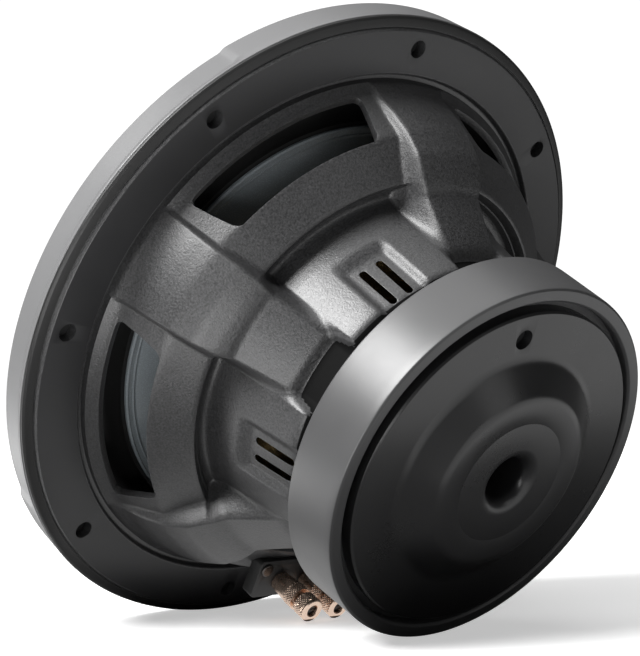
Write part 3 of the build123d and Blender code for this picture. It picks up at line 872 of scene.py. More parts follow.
@dataclass
class Basket:
    """Cast basket: flange, windowed bell, raised arms and slotted spider wall, in millimetres.

    Attributes:
        arm_feet: (share of the way back, half angle, slope width) of an arm, from flange to base.
        window_half: half angles of a window at its rim and at its heel, in degrees.
        window_rim: (radius, height) of the window's edge near the flange.
        window_heel: (radius, height) of its edge near the magnet.
        softening: how often the profiles' corners are averaged.
        stations: (bell radius, bell height, arm radius, arm height, points to the next one).
    """

    bolt_circle: float
    hole_radius: float
    bolt_count: int
    wall: float = 2.2
    flange_edge: float = 9.2
    flange_thickness: float = 4.5
    shelf_width: float = 1.4
    shelf_depth: float = 1.6
    groove_width: float = 2.8
    groove_depth: float = 2.7
    base_bore: float = 29.5
    arms: int = 5
    arm_feet: tuple[Corner, ...] = (
        (0.0, 10.6, 2.4), (0.25, 11.2, 3.2), (0.44, 13.2, 4.8),
        (0.55, 14.2, 6.4), (0.8, 14.5, 6.0), (1.0, 14.0, 5.0))
    window_half: tuple[float, float] = (22.5, 19.7)
    window_rim: Point = (105.5, 3.7)
    window_heel: Point = (97.2, 23.4)
    window_corner: float = 3.6
    window_reach: float = 12.0
    pad_half: float = 8.2
    pad_slope: float = 4.2
    pad_depth: float = 2.4
    pad_start: float = 44.0
    slot_width: float = 3.2
    slot_spread: float = 3.3
    slot_low: float = 52.0
    slot_high: float = 71.5
    softening: int = 2
    stations: list[tuple[float, float, float, float, int]] = field(default_factory=lambda: [
        (109.5, 0.0, 109.5, 0.0, 4),
        (106.2, 3.0, 106.4, 5.4, 8),
        (101.4, 13.6, 104.0, 15.2, 8),
        (97.2, 23.4, 100.4, 25.2, 8),
        (89.8, 28.9, 94.6, 34.8, 8),
        (82.6, 34.6, 88.4, 39.9, 5),
        (78.4, 29.0, 84.9, 42.1, 4),
        (74.4, 28.8, 81.8, 43.4, 6),
        (72.0, 38.0, 78.7, 47.4, 5),
        (71.1, 44.6, 74.5, 53.0, 9),
        (69.0, 58.0, 68.2, 61.6, 7),
        (66.7, 72.5, 63.0, 64.4, 5),
        (62.8, 75.2, 61.6, 73.0, 4),
        (61.6, 81.0, 61.4, 81.0, 0),
    ])

    @property
    def flange_radius(self) -> float:
        """Outer radius of the flange."""
        return self.bolt_circle + self.flange_edge

    def profiles(self) -> tuple[np.ndarray, np.ndarray]:
        """Outer profiles between and along the arms, point for point.

        Returns:
            The bell's and the arm's (radius, height) points, softened at their corners.
        """
        bell, arm = [], []
        for here, there in zip(self.stations, self.stations[1:]):
            count = here[4]
            bell += run(here[:2], there[:2], count)
            arm += run(here[2:4], there[2:4], count)
        bell.append(self.stations[-1][:2])
        arm.append(self.stations[-1][2:4])
        lines = [np.array(bell), np.array(arm)]
        for _ in range(self.softening):
            for line in lines:
                line[1:-1] = line[1:-1] * 0.5 + (line[:-2] + line[2:]) * 0.25
        return lines[0], lines[1]

    def loop(self) -> tuple[list[Point], np.ndarray, np.ndarray]:
        """Closed outline of the casting between the arms.

        Returns:
            The outline, and the bell and arm profiles that its outer part follows.
        """
        bell, arm = self.profiles()
        inner = bell[::-2] - self.wall
        mouth = self.stations[0][0]
        top = self.stations[-1][1]
        flange = rounded([
            (mouth - self.wall, -self.flange_thickness, 0.0),
            (self.flange_radius, -self.flange_thickness, 0.6),
            (self.flange_radius, -self.shelf_depth, 0.3),
            (self.flange_radius - self.shelf_width, -self.shelf_depth, 0.2),
            (self.flange_radius - self.shelf_width - 0.9, 0.0, 0.4),
            (mouth + self.groove_width, 0.0, 0.9),
            (mouth + self.groove_width * 0.8, -self.groove_depth, 0.9),
            (mouth + 0.2, -self.groove_depth, 0.9),
        ], closed=False)
        outer = [tuple(point) for point in bell]
        base = [(bell[-1][0] - 1.0, top), (self.base_bore, top), (self.base_bore, top - self.wall)]
        return flange + outer + base + [tuple(point) for point in inner], bell, arm

    def spans(self) -> list[tuple[int, float]]:
        """Steps round the casting, close together where an arm's side or a slot pad slopes."""
        half = [(5, 7.8), (26, 7.4), (6, 10.0), (12, 5.8), (3, 5.0)]
        return (half + half[::-1]) * self.arms

    def raise_arms(self, places: np.ndarray, bell: np.ndarray, arm: np.ndarray) -> np.ndarray:
        """Lift the arms out of the bell and press in the slot pads.

        Args:
            places: vertex places, in millimetres.
            bell: profile between the arms.
            arm: profile along the arms.

        Returns:
            The moved places.
        """
        radius = np.hypot(places[:, 0], places[:, 1])
        angle = np.degrees(np.arctan2(places[:, 1], places[:, 0]))
        pitch = FULL_TURN / self.arms
        off_arm = np.abs((angle + pitch / 2) % pitch - pitch / 2)
        off_window = (pitch / 2 - off_arm) * np.pi / 180.0 * radius
        moved = places.copy()
        for inset in (0.0, self.wall):
            line = bell - inset
            gap = np.hypot(radius[:, None] - line[None, :, 0], places[:, 2][:, None] - line[None, :, 1])
            station = gap.argmin(axis=1)
            on_line = gap.min(axis=1) < 0.02
            along = station / (len(bell) - 1)
            share, angles, widths = zip(*self.arm_feet)
            half = np.interp(along, share, angles)
            width = np.interp(along, share, widths)
            edge = (half - off_arm) * np.pi / 180.0 * radius
            lift = smooth_step((edge - inset * 0.6) / width)
            target_radius = line[station, 0] + (arm[station, 0] - bell[station, 0]) * lift
            target_height = line[station, 1] + (arm[station, 1] - bell[station, 1]) * lift
            dip = (smooth_step((self.pad_half + self.pad_slope - off_window) / self.pad_slope)
                   * smooth_step((target_height + inset - self.pad_start) / (self.pad_slope * 1.6)))
            target_radius = target_radius - dip * self.pad_depth * (inset == 0.0)
            scale = np.where(on_line, target_radius / np.maximum(radius, 1e-6), 1.0)
            moved[:, :2] *= scale[:, None]
            moved[:, 2] = np.where(on_line, target_height, moved[:, 2])
        return moved

    def window_cutter(self) -> Piece:
        """Block that cuts one window square to the bell's wall, with round corners."""
        rim, heel = Vector(self.window_rim), Vector(self.window_heel)
        across = Vector((heel.y - rim.y, rim.x - heel.x)).normalized() * self.window_reach
        corners = [rim - across, rim + across, heel + across, heel - across]
        cutter = Bench.outline("window_cutter", [tuple(corner) for corner in corners], True)
        bpy.ops.mesh.spin(steps=24, angle=math.radians(2 * self.window_half[0]), center=(0, 0, 0),
                          axis=(0, 0, 1))
        bpy.ops.mesh.select_mode(type="EDGE")
        bpy.ops.mesh.select_all(action="DESELECT")
        bpy.ops.mesh.select_non_manifold()
        bpy.ops.mesh.edge_face_add()
        bpy.ops.mesh.select_all(action="SELECT")
        bpy.ops.mesh.normals_make_consistent(inside=False)
        bpy.ops.object.mode_set(mode="OBJECT")
        down_wall = (heel - rim).normalized()
        length = (heel - rim).length
        narrowing = self.window_half[1] / self.window_half[0]

        def taper(places: np.ndarray) -> np.ndarray:
            """Centre the block on X and narrow it towards the heel."""
            radius = np.hypot(places[:, 0], places[:, 1])
            angle = np.degrees(np.arctan2(places[:, 1], places[:, 0]))
            angle = angle - (angle.max() + angle.min()) / 2
            down = (radius - rim.x) * down_wall.x + (places[:, 2] - rim.y) * down_wall.y
            share = np.clip(down / length, 0, 1)
            turn = np.radians(angle * (1.0 + (narrowing - 1.0) * share))
            return np.column_stack([radius * np.cos(turn), radius * np.sin(turn), places[:, 2]])

        Bench.reshape(cutter, taper)
        limit = self.window_half[1] * 0.98

        def at_side(first: Vector, second: Vector) -> bool:
            """Whether an edge runs through the wall at one side of the window."""
            turn = min(abs(math.degrees(math.atan2(spot.y, spot.x))) for spot in (first, second))
            edge = second - first
            level = abs(edge.normalized().z) < 0.75
            return turn > limit and edge.length > self.window_reach * 1.6 * MM and level

        Bench.edges(cutter, at_side)
        bpy.ops.mesh.bevel(offset=self.window_corner * MM, segments=6, profile=0.5)
        bpy.ops.object.mode_set(mode="OBJECT")
        return cutter

    def slot_cutter(self, side: int) -> Piece:
        """Upright round ended bar that cuts one vent slot beside the middle of a window."""
        middle = self.slot_low + self.slot_width / 2
        Bench.rest()
        bpy.ops.mesh.primitive_cylinder_add(
            vertices=32, radius=self.slot_width / 2 * MM, depth=40.0 * MM,
            location=(self.stations[-1][0] * MM, 0.0, middle * MM), rotation=(0.0, math.pi / 2, 0.0))
        cutter = Bench.name(bpy.context.object, f"slot_cutter_{side}")
        bpy.ops.object.transform_apply(location=True, rotation=True, scale=True)
        reach = self.slot_high - self.slot_low - self.slot_width

        def stretch(places: np.ndarray) -> np.ndarray:
            """Draw the upper half of the cylinder up into a bar and turn it to its side."""
            places[:, 2] += np.where(places[:, 2] > middle + 0.01, reach, 0.0)
            turn = math.radians(side * self.slot_spread)
            x, y = places[:, 0].copy(), places[:, 1].copy()
            places[:, 0] = x * math.cos(turn) - y * math.sin(turn)
            places[:, 1] = x * math.sin(turn) + y * math.cos(turn)
            return places

        Bench.reshape(cutter, stretch)
        return cutter

    def build(self) -> None:
        """Spin the casting, raise its arms, cut its openings and round their edges."""
        points, bell, arm = self.loop()
        piece = Bench.outline("basket_casting", points, True)
        Bench.spin(self.spans())
        Bench.reshape(piece, lambda places: self.raise_arms(places, bell, arm))
        window_angle = FULL_TURN / self.arms / 2
        Bench.cut(piece, Bench.copies(self.window_cutter(), self.arms, window_angle))
        for side in (-1, 1):
            Bench.cut(piece, Bench.copies(self.slot_cutter(side), self.arms, window_angle))
        bolts = Bench.bar(self.hole_radius, self.bolt_circle, -10.0, 5.0)
        Bench.cut(piece, Bench.copies(bolts, self.bolt_count))
        Bench.ease(piece, 0.35, 48.0)
        Bench.seat(piece, smooth=38.0)
        settle(piece, Body.FRAME, CAST_BLACK, "basket_black", "basket")
        # Painted shade: the neck between the arms' feet and the boot is painted near black.
        paint(piece, NECK_PAINTED_SHADE, lambda radius, height: height > 61.8 and (radius < 64.1 or height > 73.0))
        paint(piece, FLANGE_BLACK,
              lambda radius, height: abs(height) < 0.02 and radius > self.bolt_circle - 12.0)


# ------------------------------------------------------------------ flange trim

@dataclass
class FlangeTrim:
    """Grey trim ring with raised lobes, and the black rubber lip inside it, in millimetres."""

    flange_radius: float
    radius: float = 135.3
    rear: float = -3.6
    front: float = -19.1
    lobe_front: float = 134.7
    recess: float = 1.1
    lobe_start: float = 124.6
    lobe_sweep: float = 92.6
    lobe_ramp: float = 1.5
    inner: float = 118.5
    land: float = 117.5

    def ring(self) -> None:
        """Spin the ring, then press its side in between the lobes."""
        outer = rounded([
            (self.flange_radius + 0.1, self.rear, 0.0), (self.radius, self.rear, 0.35),
            (self.radius - 0.15, self.rear - 1.4, 0.3)], closed=False)
        side = run((self.radius - 0.12, self.rear - 1.9), (self.lobe_front, self.front + 2.4), 10)
        front = rounded([
            (self.lobe_front, self.front + 2.4, 0.0), (self.lobe_front - 2.2, self.front, 1.8),
            (self.inner + 3.0, self.front, 1.6), (self.inner, self.front + 2.0, 1.6),
            (self.inner - 3.5, -5.5, 0.5), (self.land + 0.5, -5.5, 0.0), (self.land + 0.5, -4.5, 0.0),
            (self.flange_radius + 0.1, -4.5, 0.0)], closed=False)
        piece = Bench.lathe("trim_ring_moulding", outer + side + front, 480)
        Bench.reshape(piece, self.press_sides)
        Bench.seat(piece, smooth=30.0)
        settle(piece, Body.FRAME, TRIM_GREY, "trim_grey", "trim_ring")
        # Painted shade: the ring's rear face behind the flange is painted near black.
        paint(piece, TRIM_REAR_PAINTED_SHADE, lambda radius, height: height > -4.6 and radius < self.flange_radius)

    def press_sides(self, places: np.ndarray) -> np.ndarray:
        """Press the ring's side in wherever there is no lobe."""
        radius = np.hypot(places[:, 0], places[:, 1])
        angle = np.degrees(np.arctan2(places[:, 1], places[:, 0])) % 180.0
        into = (angle - self.lobe_start % 180.0) % 180.0
        lobe = smooth_step(into / self.lobe_ramp) * smooth_step((self.lobe_sweep - into) / self.lobe_ramp)
        below = smooth_step((self.rear - 1.5 - places[:, 2]) / 1.2)
        side = smooth_step((radius - self.inner - 8.0) / 4.0)
        scale = 1.0 - (1.0 - lobe) * below * side * self.recess / np.maximum(radius, 1.0)
        places[:, :2] *= scale[:, None]
        return places

    def lip(self) -> None:
        """Spin the rubber lip that fills the corner between flange and ring."""
        start = self.flange_radius + 0.12
        end = self.radius - 0.4
        piece = Bench.lathe("flange_gasket_lip", rounded([
            (start, self.rear, 0.0), (end, self.rear, 0.0), (end, self.rear + 0.8, 0.35),
            (end - 0.8, self.rear + 1.6, 0.4), (start - 1.1, self.rear + 2.5, 0.3),
            (start - 1.4, self.rear + 2.1, 0.1), (start, self.rear + 2.05, 0.0),
        ]), 256)
        Bench.seat(piece)
        settle(piece, Body.FRAME, GASKET_BLACK, "gasket_black", "flange_gasket")

    def build(self) -> None:
        """Make the ring and the lip."""
        self.ring()
        self.lip()


# ------------------------------------------------------------------ moving system

@dataclass
class MovingSystem:
    """Cone, dust cap, surround and spider, in millimetres."""

    neck: float = 26.0
    neck_height: float = 33.5
    rim: float = 90.0
    rim_height: float = -3.5
    lip: float = 4.5
    skin: float = 1.2
    bead_radii: tuple[float, float] = (86.6, 89.2)
    bead_rise: float = 0.7
    cap_radius: float = 42.0
    cap_rise: float = 11.0
    roll_outer: float = 108.0
    land: float = 117.3
    land_height: float = -5.0
    cloth: float = 0.7
    spider_height: float = 40.0
    spider_cup: float = 66.5
    spider_land: float = 75.4
    spider_ledge: float = 24.8
    waves: int = 6
    wave_rise: float = 1.6

    def rear_height(self, radius: float) -> float:
        """Height of the cone's rear face at a radius."""
        share = (radius - self.neck) / (self.rim - self.lip - self.neck)
        return self.neck_height + (self.rim_height + self.skin - self.neck_height) * share

    def cone(self) -> None:
        """Spin the cone with two raised beads behind its rim."""
        rear = self.rim_height + self.skin
        inner_bead, outer_bead = self.bead_radii
        piece = Bench.lathe("cone_body", rounded([
            (self.neck + 0.05, self.neck_height + 2.0, 0.0), (self.neck + 1.4, self.neck_height + 2.0, 0.3),
            (self.neck + 1.5, self.rear_height(self.neck + 1.5), 0.6),
            (self.rim - self.lip, rear, 0.8), (inner_bead - 0.4, rear, 0.1),
            (inner_bead, rear + self.bead_rise, 0.25), (inner_bead + 0.5, rear, 0.1),
            (outer_bead - 0.4, rear, 0.1), (outer_bead, rear + self.bead_rise, 0.25), (self.rim, rear, 0.2),
            (self.rim, self.rim_height, 0.2), (self.rim - self.lip, self.rim_height, 1.0),
            (self.neck + 0.05, self.neck_height - self.skin * 1.2, 0.0),
        ]), 220)
        Bench.seat(piece)
        settle(piece, Body.MOVING, CONE_POLY, "cone_poly", "cone")

    def dust_cap(self) -> None:
        """Spin the domed dust cap with its glued rim."""
        seat = self.rear_height(self.cap_radius) - self.skin * 1.35
        ball = (self.cap_radius ** 2 + self.cap_rise ** 2) / (2 * self.cap_rise)
        reach = math.asin(self.cap_radius / ball)
        dome = []
        for step in range(25):
            turn = reach * (1 - step / 24)
            dome.append((ball * math.sin(turn), seat - self.cap_rise + ball * (1 - math.cos(turn))))
        piece = Bench.lathe("dust_cap_dome", [(self.cap_radius, seat + 0.5)] + dome, 160, closed=False)
        Bench.modify(piece, "SOLIDIFY", thickness=0.8 * MM, offset=-1.0, use_even_offset=True)
        Bench.seat(piece)
        settle(piece, Body.MOVING, CONE_POLY, "cone_poly", "dust_cap")

    def surround(self) -> None:
        """Spin the half roll that spans between the cone and the flange."""
        inner = self.rim + 0.8
        outer = self.roll_outer - 0.5
        middle = (inner + outer) / 2
        roll = (outer - inner) / 2
        points = run((self.rim - self.lip + 0.4, -4.3), (inner, -4.4), 4)
        for step in range(25):
            turn = math.pi * (1 + step / 24)
            points.append((middle + roll * math.cos(turn), -4.5 + roll * math.sin(turn)))
        points += [(radius, self.land_height) for radius in (outer + 1.0, outer + 5.0, self.land)]
        piece = Bench.lathe("surround_roll", points, 220, closed=False)
        Bench.modify(piece, "SOLIDIFY", thickness=0.9 * MM, offset=0.0, use_even_offset=True)
        Bench.seat(piece)
        settle_soft(piece, Body.MOVING, SURROUND_BLACK, "surround",
                    lambda places: (outer - radius_from_axis(places)) / (outer - inner),
                    AXIS.at(outer, 0, -4.5), AXIS.at(inner, 0, -4.5))

    def spider(self) -> None:
        """Spin the corrugated cloth that spans between the former and the basket."""
        inner = self.neck + 0.3
        start = inner + 2.0
        pitch = (self.spider_cup - start) / self.waves
        points = [(inner, self.spider_height)]
        steps = self.waves * 12
        for step in range(steps + 1):
            radius = start + (self.spider_cup - start) * step / steps
            wave = math.sin((radius - start) / pitch * 2 * math.pi)
            points.append((radius, self.spider_height - self.wave_rise * wave))
        points += rounded([
            (self.spider_cup + 0.4, self.spider_height, 0.0),
            (self.spider_cup + 1.2, self.spider_height - 0.4, 0.8),
            (self.spider_cup + 2.2, self.spider_ledge, 0.9), (self.spider_land, self.spider_ledge, 0.0),
        ], closed=False)
        piece = Bench.lathe("spider_cloth_disc", points, 160, closed=False)
        Bench.modify(piece, "SOLIDIFY", thickness=self.cloth * MM, offset=0.0, use_even_offset=True)
        Bench.seat(piece, smooth=60.0)
        cup = self.spider_cup
        settle_soft(piece, Body.MOVING, AMBER_CLOTH, "spider",
                    lambda places: (cup - radius_from_axis(places)) / (cup - start),
                    AXIS.at(cup, 0, self.spider_height), AXIS.at(start, 0, self.spider_height))

    def build(self) -> None:
        """Make the four pieces and dress the voice coil."""
        self.cone()
        self.dust_cap()
        self.surround()
        self.spider()
        dress(frame["nodes"]["voice_coil_former"], FORMER_ALUMINIUM)
        dress(frame["nodes"]["voice_coil_winding"], COPPER)


# ------------------------------------------------------------------ magnet system

@dataclass
class MagnetSystem:
    """Boot, back plate, pole and the plates between, in millimetres."""

    magnet_radius: float = 70.0
    plate_radius: float = 65.8
    plate_front: float = 103.0
    plate_face: float = 109.0
    bump_foot: float = 46.7
    bump_top: float = 34.8
    bump_height: float = 118.1
    pole_radius: float = 24.8
    pole_front: float = 81.0
    vent: float = 8.9
    mouth: float = 14.1
    flare: float = 5.0
    boot_front: float = 75.3
    boot_rear: float = 74.6
    boot_start: float = 82.9
    boot_end: float = 107.9
    boot_lip: float = 68.8
    blind_hole: float = 3.9
    blind_circle: float = 55.6
    blind_angle: float = 11.7
    blind_depth: float = 4.0

    def boot(self) -> None:
        """Spin the rubber boot with its soft rims."""
        side = run((self.boot_front, self.boot_start + 1.2), (self.boot_rear, self.boot_end - 1.6), 8)
        rear = rounded([
            (self.boot_rear, self.boot_end - 1.6, 0.0), (self.boot_rear - 0.15, self.boot_end - 0.6, 0.5),
            (self.boot_rear - 1.0, self.boot_end, 0.6), (self.boot_lip + 0.9, self.boot_end, 0.8),
            (self.boot_lip, self.boot_end - 1.0, 0.6), (self.boot_lip, self.plate_front, 0.0),
            (self.magnet_radius, self.plate_front, 0.0), (self.magnet_radius, self.boot_start, 0.2),
            (self.boot_front - 0.6, self.boot_start, 0.6), (self.boot_front, self.boot_start + 0.8, 0.5)],
            closed=False)
        piece = Bench.lathe("magnet_boot_sleeve", side + rear, 256)
        Bench.seat(piece, smooth=32.0)
        settle(piece, Body.FRAME, BOOT_GREY, "boot_grey", "magnet_boot")
        # Painted shade: the boot's rear rim and lip are painted darker than its side.
        paint(piece, BOOT_LIP_PAINTED_SHADE, lambda radius, height: height > 100.0 and radius < self.boot_rear - 0.55)

    def back_plate(self) -> None:
        """Spin the bumped plate and drill its blind hole."""
        inside = self.bump_height - 6.0
        piece = Bench.lathe("back_plate_pressing", rounded([
            (self.pole_radius, self.bump_height, 0.0), (self.bump_top, self.bump_height, 6.0),
            (self.bump_foot, self.plate_face, 7.0), (self.plate_radius - 0.8, self.plate_face, 0.5),
            (self.plate_radius, self.plate_face - 0.8, 0.4), (self.plate_radius, self.plate_front, 0.0),
            (37.0, self.plate_front, 0.0), (32.0, inside, 0.0), (self.pole_radius, inside, 0.0),
        ], arc_points=10), 256)
        drill = Bench.bar(self.blind_hole, self.blind_circle, self.plate_face - self.blind_depth,
                          self.plate_face + 2.0)
        drill.data.transform(Matrix.Rotation(math.radians(self.blind_angle), 4, "Z"))
        Bench.cut(piece, [drill])
        Bench.ease(piece, 0.3, 50.0)
        Bench.seat(piece)
        settle(piece, Body.FRAME, PLATE_BLACK, "plate_black", "back_plate")

    def pole(self) -> None:
        """Spin the pole with its flared vent."""
        funnel = []
        for step in range(9):
            turn = math.pi / 2 * step / 8
            funnel.append((self.mouth - (self.mouth - self.vent) * math.sin(turn),
                           self.bump_height - self.flare * (1 - math.cos(turn))))
        piece = Bench.lathe("pole_piece_turned", funnel + [
            (self.vent, self.bump_height - self.flare - 4.0), (self.vent, self.pole_front),
            (self.pole_radius, self.pole_front), (self.pole_radius, self.bump_height)], 192)
        Bench.seat(piece)
        settle(piece, Body.FRAME, PLATE_BLACK, "plate_black", "pole_piece")

    def build(self) -> None:
        """Make boot, back plate and pole, and ease the edges of the plates between."""
        self.boot()
        self.back_plate()
        self.pole()
        for node, finish, slot in (("top_plate", PLATE_BLACK, "plate_black"), ("magnet", FERRITE, "ferrite"),
                                   ("frame_screws", BARE_STEEL, "steel_bare")):
            reuse(node, node + "_eased", 0.25, finish, slot)


# ------------------------------------------------------------------ terminals

class Pole(Enum):
    """The two terminals, with the side of the driver's Y axis that each stands on, and its cap's body."""

    POSITIVE = ("positive", -1, Body.CAP_POSITIVE)
    NEGATIVE = ("negative", 1, Body.CAP_NEGATIVE)

    def __init__(self, label: str, side: int, cap: Body) -> None:
        """Name the three parts of an entry."""
        self.label = label
        self.side = side
        self.cap = cap


@dataclass
class Terminal:
    """One push terminal: tapered barrel, knurled cap and what belongs to them, in millimetres."""

    pole: Pole
    circle: float = 96.5
    spacing: float = 14.4
    foot: float = 33.0
    end: float = 47.5
    root_radius: float = 4.3
    end_radius: float = 5.3
    collar: float = 4.6
    post_radius: float = 1.7
    post_end: float = 53.5
    cap_start: float = 49.5
    cap_length: float = 6.6
    cap_radius: float = 5.25
    chamber: float = 3.6
    web_low: float = 52.1
    web_high: float = 53.5
    mouth: float = 2.5
    knurls: int = 26
    knurl_depth: float = 0.45
    steps: int = 104
    lead_still: float = 86.0
    lead_swing: float = 46.0
    lead_start: Corner = (90.0, 180.0, 20.0)
    lead_end: Corner = (30.0, 180.0, 36.0)

    def place(self) -> Vector:
        """Where the terminal's axis stands, in the driver's own axes."""
        return Vector((-self.circle, self.pole.side * self.spacing / 2, 0.0))

    def knurl(self, piece: Piece, low: float, high: float, radius: float) -> None:
        """Press crossed grooves into a band of a piece's side.

        Args:
            piece: the piece, about its own axis.
            low: start of the band.
            high: end of the band.
            radius: the band's radius.
        """
        pitch = 2 * math.pi * radius / self.knurls

        def crossed(places: np.ndarray) -> np.ndarray:
            """Grooves that wind both ways round the band."""
            reach = np.hypot(places[:, 0], places[:, 1])
            turn = np.arctan2(places[:, 1], places[:, 0]) / (2 * np.pi) * self.knurls
            climb = (places[:, 2] - low) / pitch
            ridges = np.minimum(np.abs((turn + climb) % 1.0 - 0.5), np.abs((turn - climb) % 1.0 - 0.5)) * 2
            inside = (places[:, 2] > low - 0.01) & (places[:, 2] < high + 0.01) & (reach > radius - 0.05)
            dip = np.where(inside, (1.0 - ridges) * self.knurl_depth, 0.0)
            places[:, :2] *= (1.0 - dip / np.maximum(reach, 0.1))[:, None]
            return places

        Bench.reshape(piece, crossed)

    def barrel(self) -> None:
        """Spin the barrel and its post, with a knurled band at the gap."""
        band = self.end - self.collar
        points = rounded([
            (0.0, self.foot, 0.0), (self.root_radius - 0.5, self.foot, 0.3),
            (self.root_radius, self.foot + 0.6, 0.4), (self.end_radius - 0.35, band - 0.8, 0.4),
            (self.end_radius - 0.35, band - 0.4, 0.1)], closed=False)
        points += run((self.end_radius, band), (self.end_radius, self.end - 0.5), 14)
        points += rounded([
            (self.end_radius, self.end - 0.5, 0.0), (self.end_radius - 0.3, self.end, 0.1),
            (self.post_radius, self.end, 0.2), (self.post_radius, self.post_end, 0.1),
            (0.0, self.post_end, 0.0)], closed=False)
        piece = Bench.lathe(f"terminal_barrel_{self.pole.label}", points, self.steps, closed=False)
        self.knurl(piece, band, self.end - 0.5, self.end_radius)
        Bench.seat(piece, self.place(), smooth=28.0)
        settle(piece, Body.FRAME, ROSE_GOLD, "terminal_gold", f"terminal_body_{self.pole.label}")

    def cap(self) -> None:
        """Spin the push cap, knurled on its side and open at its end."""
        low = self.cap_start
        high = low + self.cap_length
        slide = self.post_radius + 0.08
        points = rounded([(self.chamber, low, 0.0), (self.cap_radius - 0.4, low, 0.2)], closed=False)
        points += run((self.cap_radius, low + 0.5), (self.cap_radius, high - 0.9), 18)
        points += rounded([
            (self.cap_radius, high - 0.9, 0.0), (self.cap_radius - 0.1, high - 0.5, 0.2),
            (self.cap_radius - 0.7, high, 0.3), (self.mouth + 0.3, high, 0.2), (self.mouth, high - 0.4, 0.2),
            (self.mouth, self.web_high, 0.0), (slide, self.web_high, 0.0), (slide, self.web_low, 0.0),
            (self.chamber, self.web_low, 0.0)], closed=False)
        piece = Bench.lathe(f"terminal_push_cap_{self.pole.label}", points, self.steps)
        self.knurl(piece, low + 0.5, high - 0.9, self.cap_radius)
        Bench.seat(piece, self.place(), smooth=28.0)
        settle(piece, self.pole.cap, ROSE_GOLD, "terminal_gold", f"terminal_cap_{self.pole.label}")

    def spring(self) -> None:
        """Copy the spring that sits between the barrel and the cap."""
        node = f"terminal_spring_{self.pole.label}"
        piece = Bench.shade(Bench.borrowed(node, f"terminal_coil_spring_{self.pole.label}"))
        low, high = self.end + 0.3, self.web_low - 0.3
        middle = self.place()
        angle = math.degrees(math.atan2(middle.y, middle.x))
        reach = middle.length
        rear = np.array(AXIS.rearward)
        start = np.array(AXIS.origin) @ rear
        settle_soft(piece, self.pole.cap, SPRING_STEEL, node,
                    lambda places: ((places @ rear - start) / MM - low) / (high - low),
                    AXIS.at(reach, angle, low), AXIS.at(reach, angle, high))

    def lead(self) -> None:
        """Copy the tinsel lead that runs between its lug and the former."""
        node = f"tinsel_lead_{self.pole.label}"
        piece = Bench.shade(Bench.borrowed(node, f"tinsel_braid_{self.pole.label}"))
        settle_soft(piece, Body.MOVING, TINSEL, node,
                    lambda places: (self.lead_still - radius_from_axis(places)) / self.lead_swing,
                    AXIS.at(*self.lead_start), AXIS.at(*self.lead_end))

    def build(self) -> None:
        """Make the terminal's pieces and dress its screw and lug."""
        self.barrel()
        self.cap()
        self.spring()
        self.lead()
        dress(frame["nodes"][f"terminal_screw_{self.pole.label}"], DARK_SCREW)
        label = self.pole.label
        reuse(f"lead_lug_{label}", f"lead_lug_tag_{label}", 0.2, ROSE_GOLD, "terminal_gold")


@dataclass
class TerminalBase:
    """Insulating block under the terminals, and its rivets."""

    softness: float = 0.5

    def build(self) -> None:
        """Round the block's edges and dress the rivets."""
        reuse("terminal_base", "terminal_base_block", self.softness, NYLON, "base_plastic")
        dress(frame["nodes"]["terminal_base_rivets"], DARK_SCREW)


# ------------------------------------------------------------------ studio

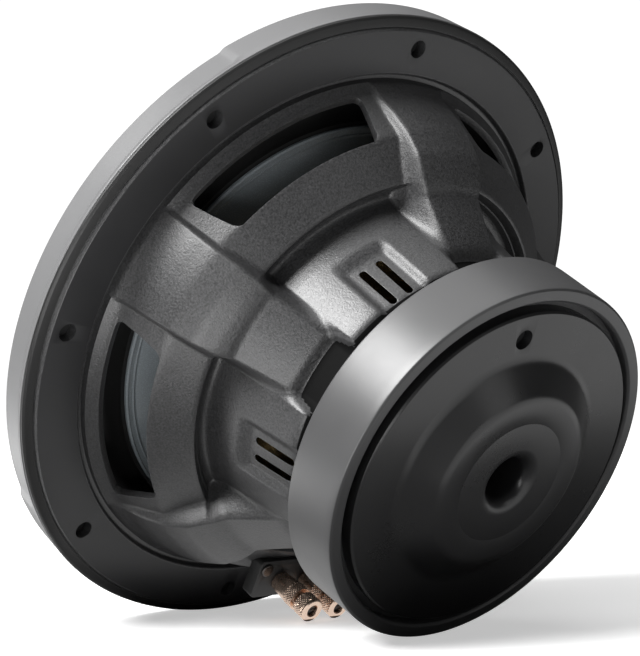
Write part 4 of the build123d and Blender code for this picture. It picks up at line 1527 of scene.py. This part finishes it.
@dataclass
class Studio:
    """Pale floor, soft lights and camera, in metres."""

    camera_place: Vector = field(default_factory=lambda: Vector((0.5449, 0.5770, 0.1058)))
    camera_aim: Vector = field(default_factory=lambda: Vector((-0.67183, -0.74053, 0.01617)))
    camera_up: Vector = field(default_factory=lambda: Vector((0.00209, 0.01993, 0.99980)))
    lens: float = 110.0
    floor_size: float = 30.0
    sky: float = 0.07
    wall: float = 1.1
    hung: tuple[tuple[str, Corner, Point, float], ...] = (
        ("key_panel", (1.14, -0.06, 1.16), (0.75, 0.75), 46.0),
        ("top_panel", (0.0, 0.1, 1.5), (1.2, 1.2), 7.0),
        ("rear_panel", (-0.25, 1.40, 0.22), (0.6, 0.5), 1.1),
    )
    laid: tuple[tuple[str, Corner, Point, float], ...] = (
        ("right_bounce", (-0.36, 0.47, 0.012), (0.84, 0.7), 1.7),
        ("near_bounce", (0.32, 0.18, 0.012), (0.26, 0.26), 1.3),
        ("terminal_card", (0.030, -0.022, 0.002), (0.11, 0.09), 0.023),
        ("left_bounce", (0.24, -0.24, 0.012), (0.3, 0.3), 0.7),
    )

    def floor(self) -> None:
        """Lay a pale matt floor under the driver; it glows to the camera, more with distance, as painted
        light, and is dark grey to all other light.
        """
        Bench.rest()
        bpy.ops.mesh.primitive_plane_add(size=self.floor_size)
        plane = Bench.name(bpy.context.object, "studio_floor")
        graph = Graph(bpy.data.materials.new("pale_floor"))
        mottle = graph.noise(60.0, 2.0)
        colour = graph.blend(mottle, (0.90, 0.90, 0.90), (0.94, 0.94, 0.94))
        reach = graph.node("ShaderNodeVectorMath", {"operation": "LENGTH"}, {0: graph.place}, output="Value")
        # Painted light: the floor glows to the camera, more with distance from the driver.
        glow = graph.ramp(reach, (0.30, 0.48), (0.70, 1.0))
        seen = graph.node("ShaderNodeBsdfPrincipled", None, {
            "Base Color": colour, "Roughness": 0.8, "Emission Color": glow, "Emission Strength": 1.0})
        felt = graph.node("ShaderNodeBsdfDiffuse", None, {"Color": (0.22, 0.22, 0.22, 1.0)})
        graph.node("ShaderNodeOutputMaterial", None, {"Surface": graph.by_ray(seen, felt)})
        plane.data.materials.append(graph.owner)

    def panel(self, name: str, place: Sequence[float], size: Sequence[float], power: float,
              upward: bool = False) -> None:
        """Hang a soft light panel that faces the driver, or lay one on the floor.

        Args:
            name: the light's name.
            place: its middle.
            size: its width and height.
            power: its power in watts.
            upward: whether it faces straight up.
        """
        data = bpy.data.lights.new(name, "AREA")
        data.shape = "RECTANGLE"
        data.size, data.size_y = size
        data.energy = power
        light = bpy.data.objects.new(name, data)
        light.location = place
        light.visible_camera = False
        aim = Vector((0.0, 0.0, 1.0)) if upward else Vector((0.0, 0.0, 0.12)) - Vector(place)
        light.rotation_mode = "QUATERNION"
        light.rotation_quaternion = aim.to_track_quat("-Z", "Y")
        bpy.context.scene.collection.objects.link(light)

    def backdrop(self) -> None:
        """White surroundings that light the driver only softly."""
        graph = Graph(bpy.data.worlds.new("white_room"))
        white = (1.0, 1.0, 1.0, 1.0)
        seen, felt = (graph.node("ShaderNodeBackground", None, {"Color": white, "Strength": glow})
                      for glow in (self.wall, self.sky))
        graph.node("ShaderNodeOutputWorld", None, {"Surface": graph.by_ray(seen, felt)})
        bpy.context.scene.world = graph.owner

    def camera(self) -> None:
        """Set the camera behind and to the left of the driver, level with its middle."""
        data = bpy.data.cameras.new("camera")
        data.lens = self.lens
        data.sensor_width = 36.0
        camera = bpy.data.objects.new("camera", data)
        right = self.camera_aim.cross(self.camera_up).normalized()
        up = right.cross(self.camera_aim).normalized()
        turn = Matrix((right, up, -self.camera_aim.normalized())).transposed()
        camera.matrix_world = Matrix.Translation(self.camera_place) @ turn.to_4x4()
        bpy.context.scene.collection.objects.link(camera)
        bpy.context.scene.camera = camera

    def build(self) -> None:
        """Set up floor, lights, surroundings and camera."""
        self.camera()
        self.floor()
        self.backdrop()
        for light in self.hung:
            self.panel(*light)
        for light in self.laid:
            self.panel(*light, upward=True)
        bpy.context.scene.view_settings.view_transform = "Standard"


def main() -> None:
    """Build the driver's looks in order."""
    logging.basicConfig(level=logging.INFO, format="%(name)s: %(message)s")
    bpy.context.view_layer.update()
    bolts = next(m for m in frame["record"]["mounts"] if m["name"] == "flange_bolts")["dims"]
    Studio().build()
    basket = Basket(bolts["pcd_mm"] / 2, bolts["hole_r_mm"], bolts["count"])
    basket.build()
    FlangeTrim(flange_radius=basket.flange_radius).build()
    MovingSystem().build()
    MagnetSystem().build()
    TerminalBase().build()
    for pole in Pole:
        Terminal(pole).build()


if __name__ == "__main__":
    main()
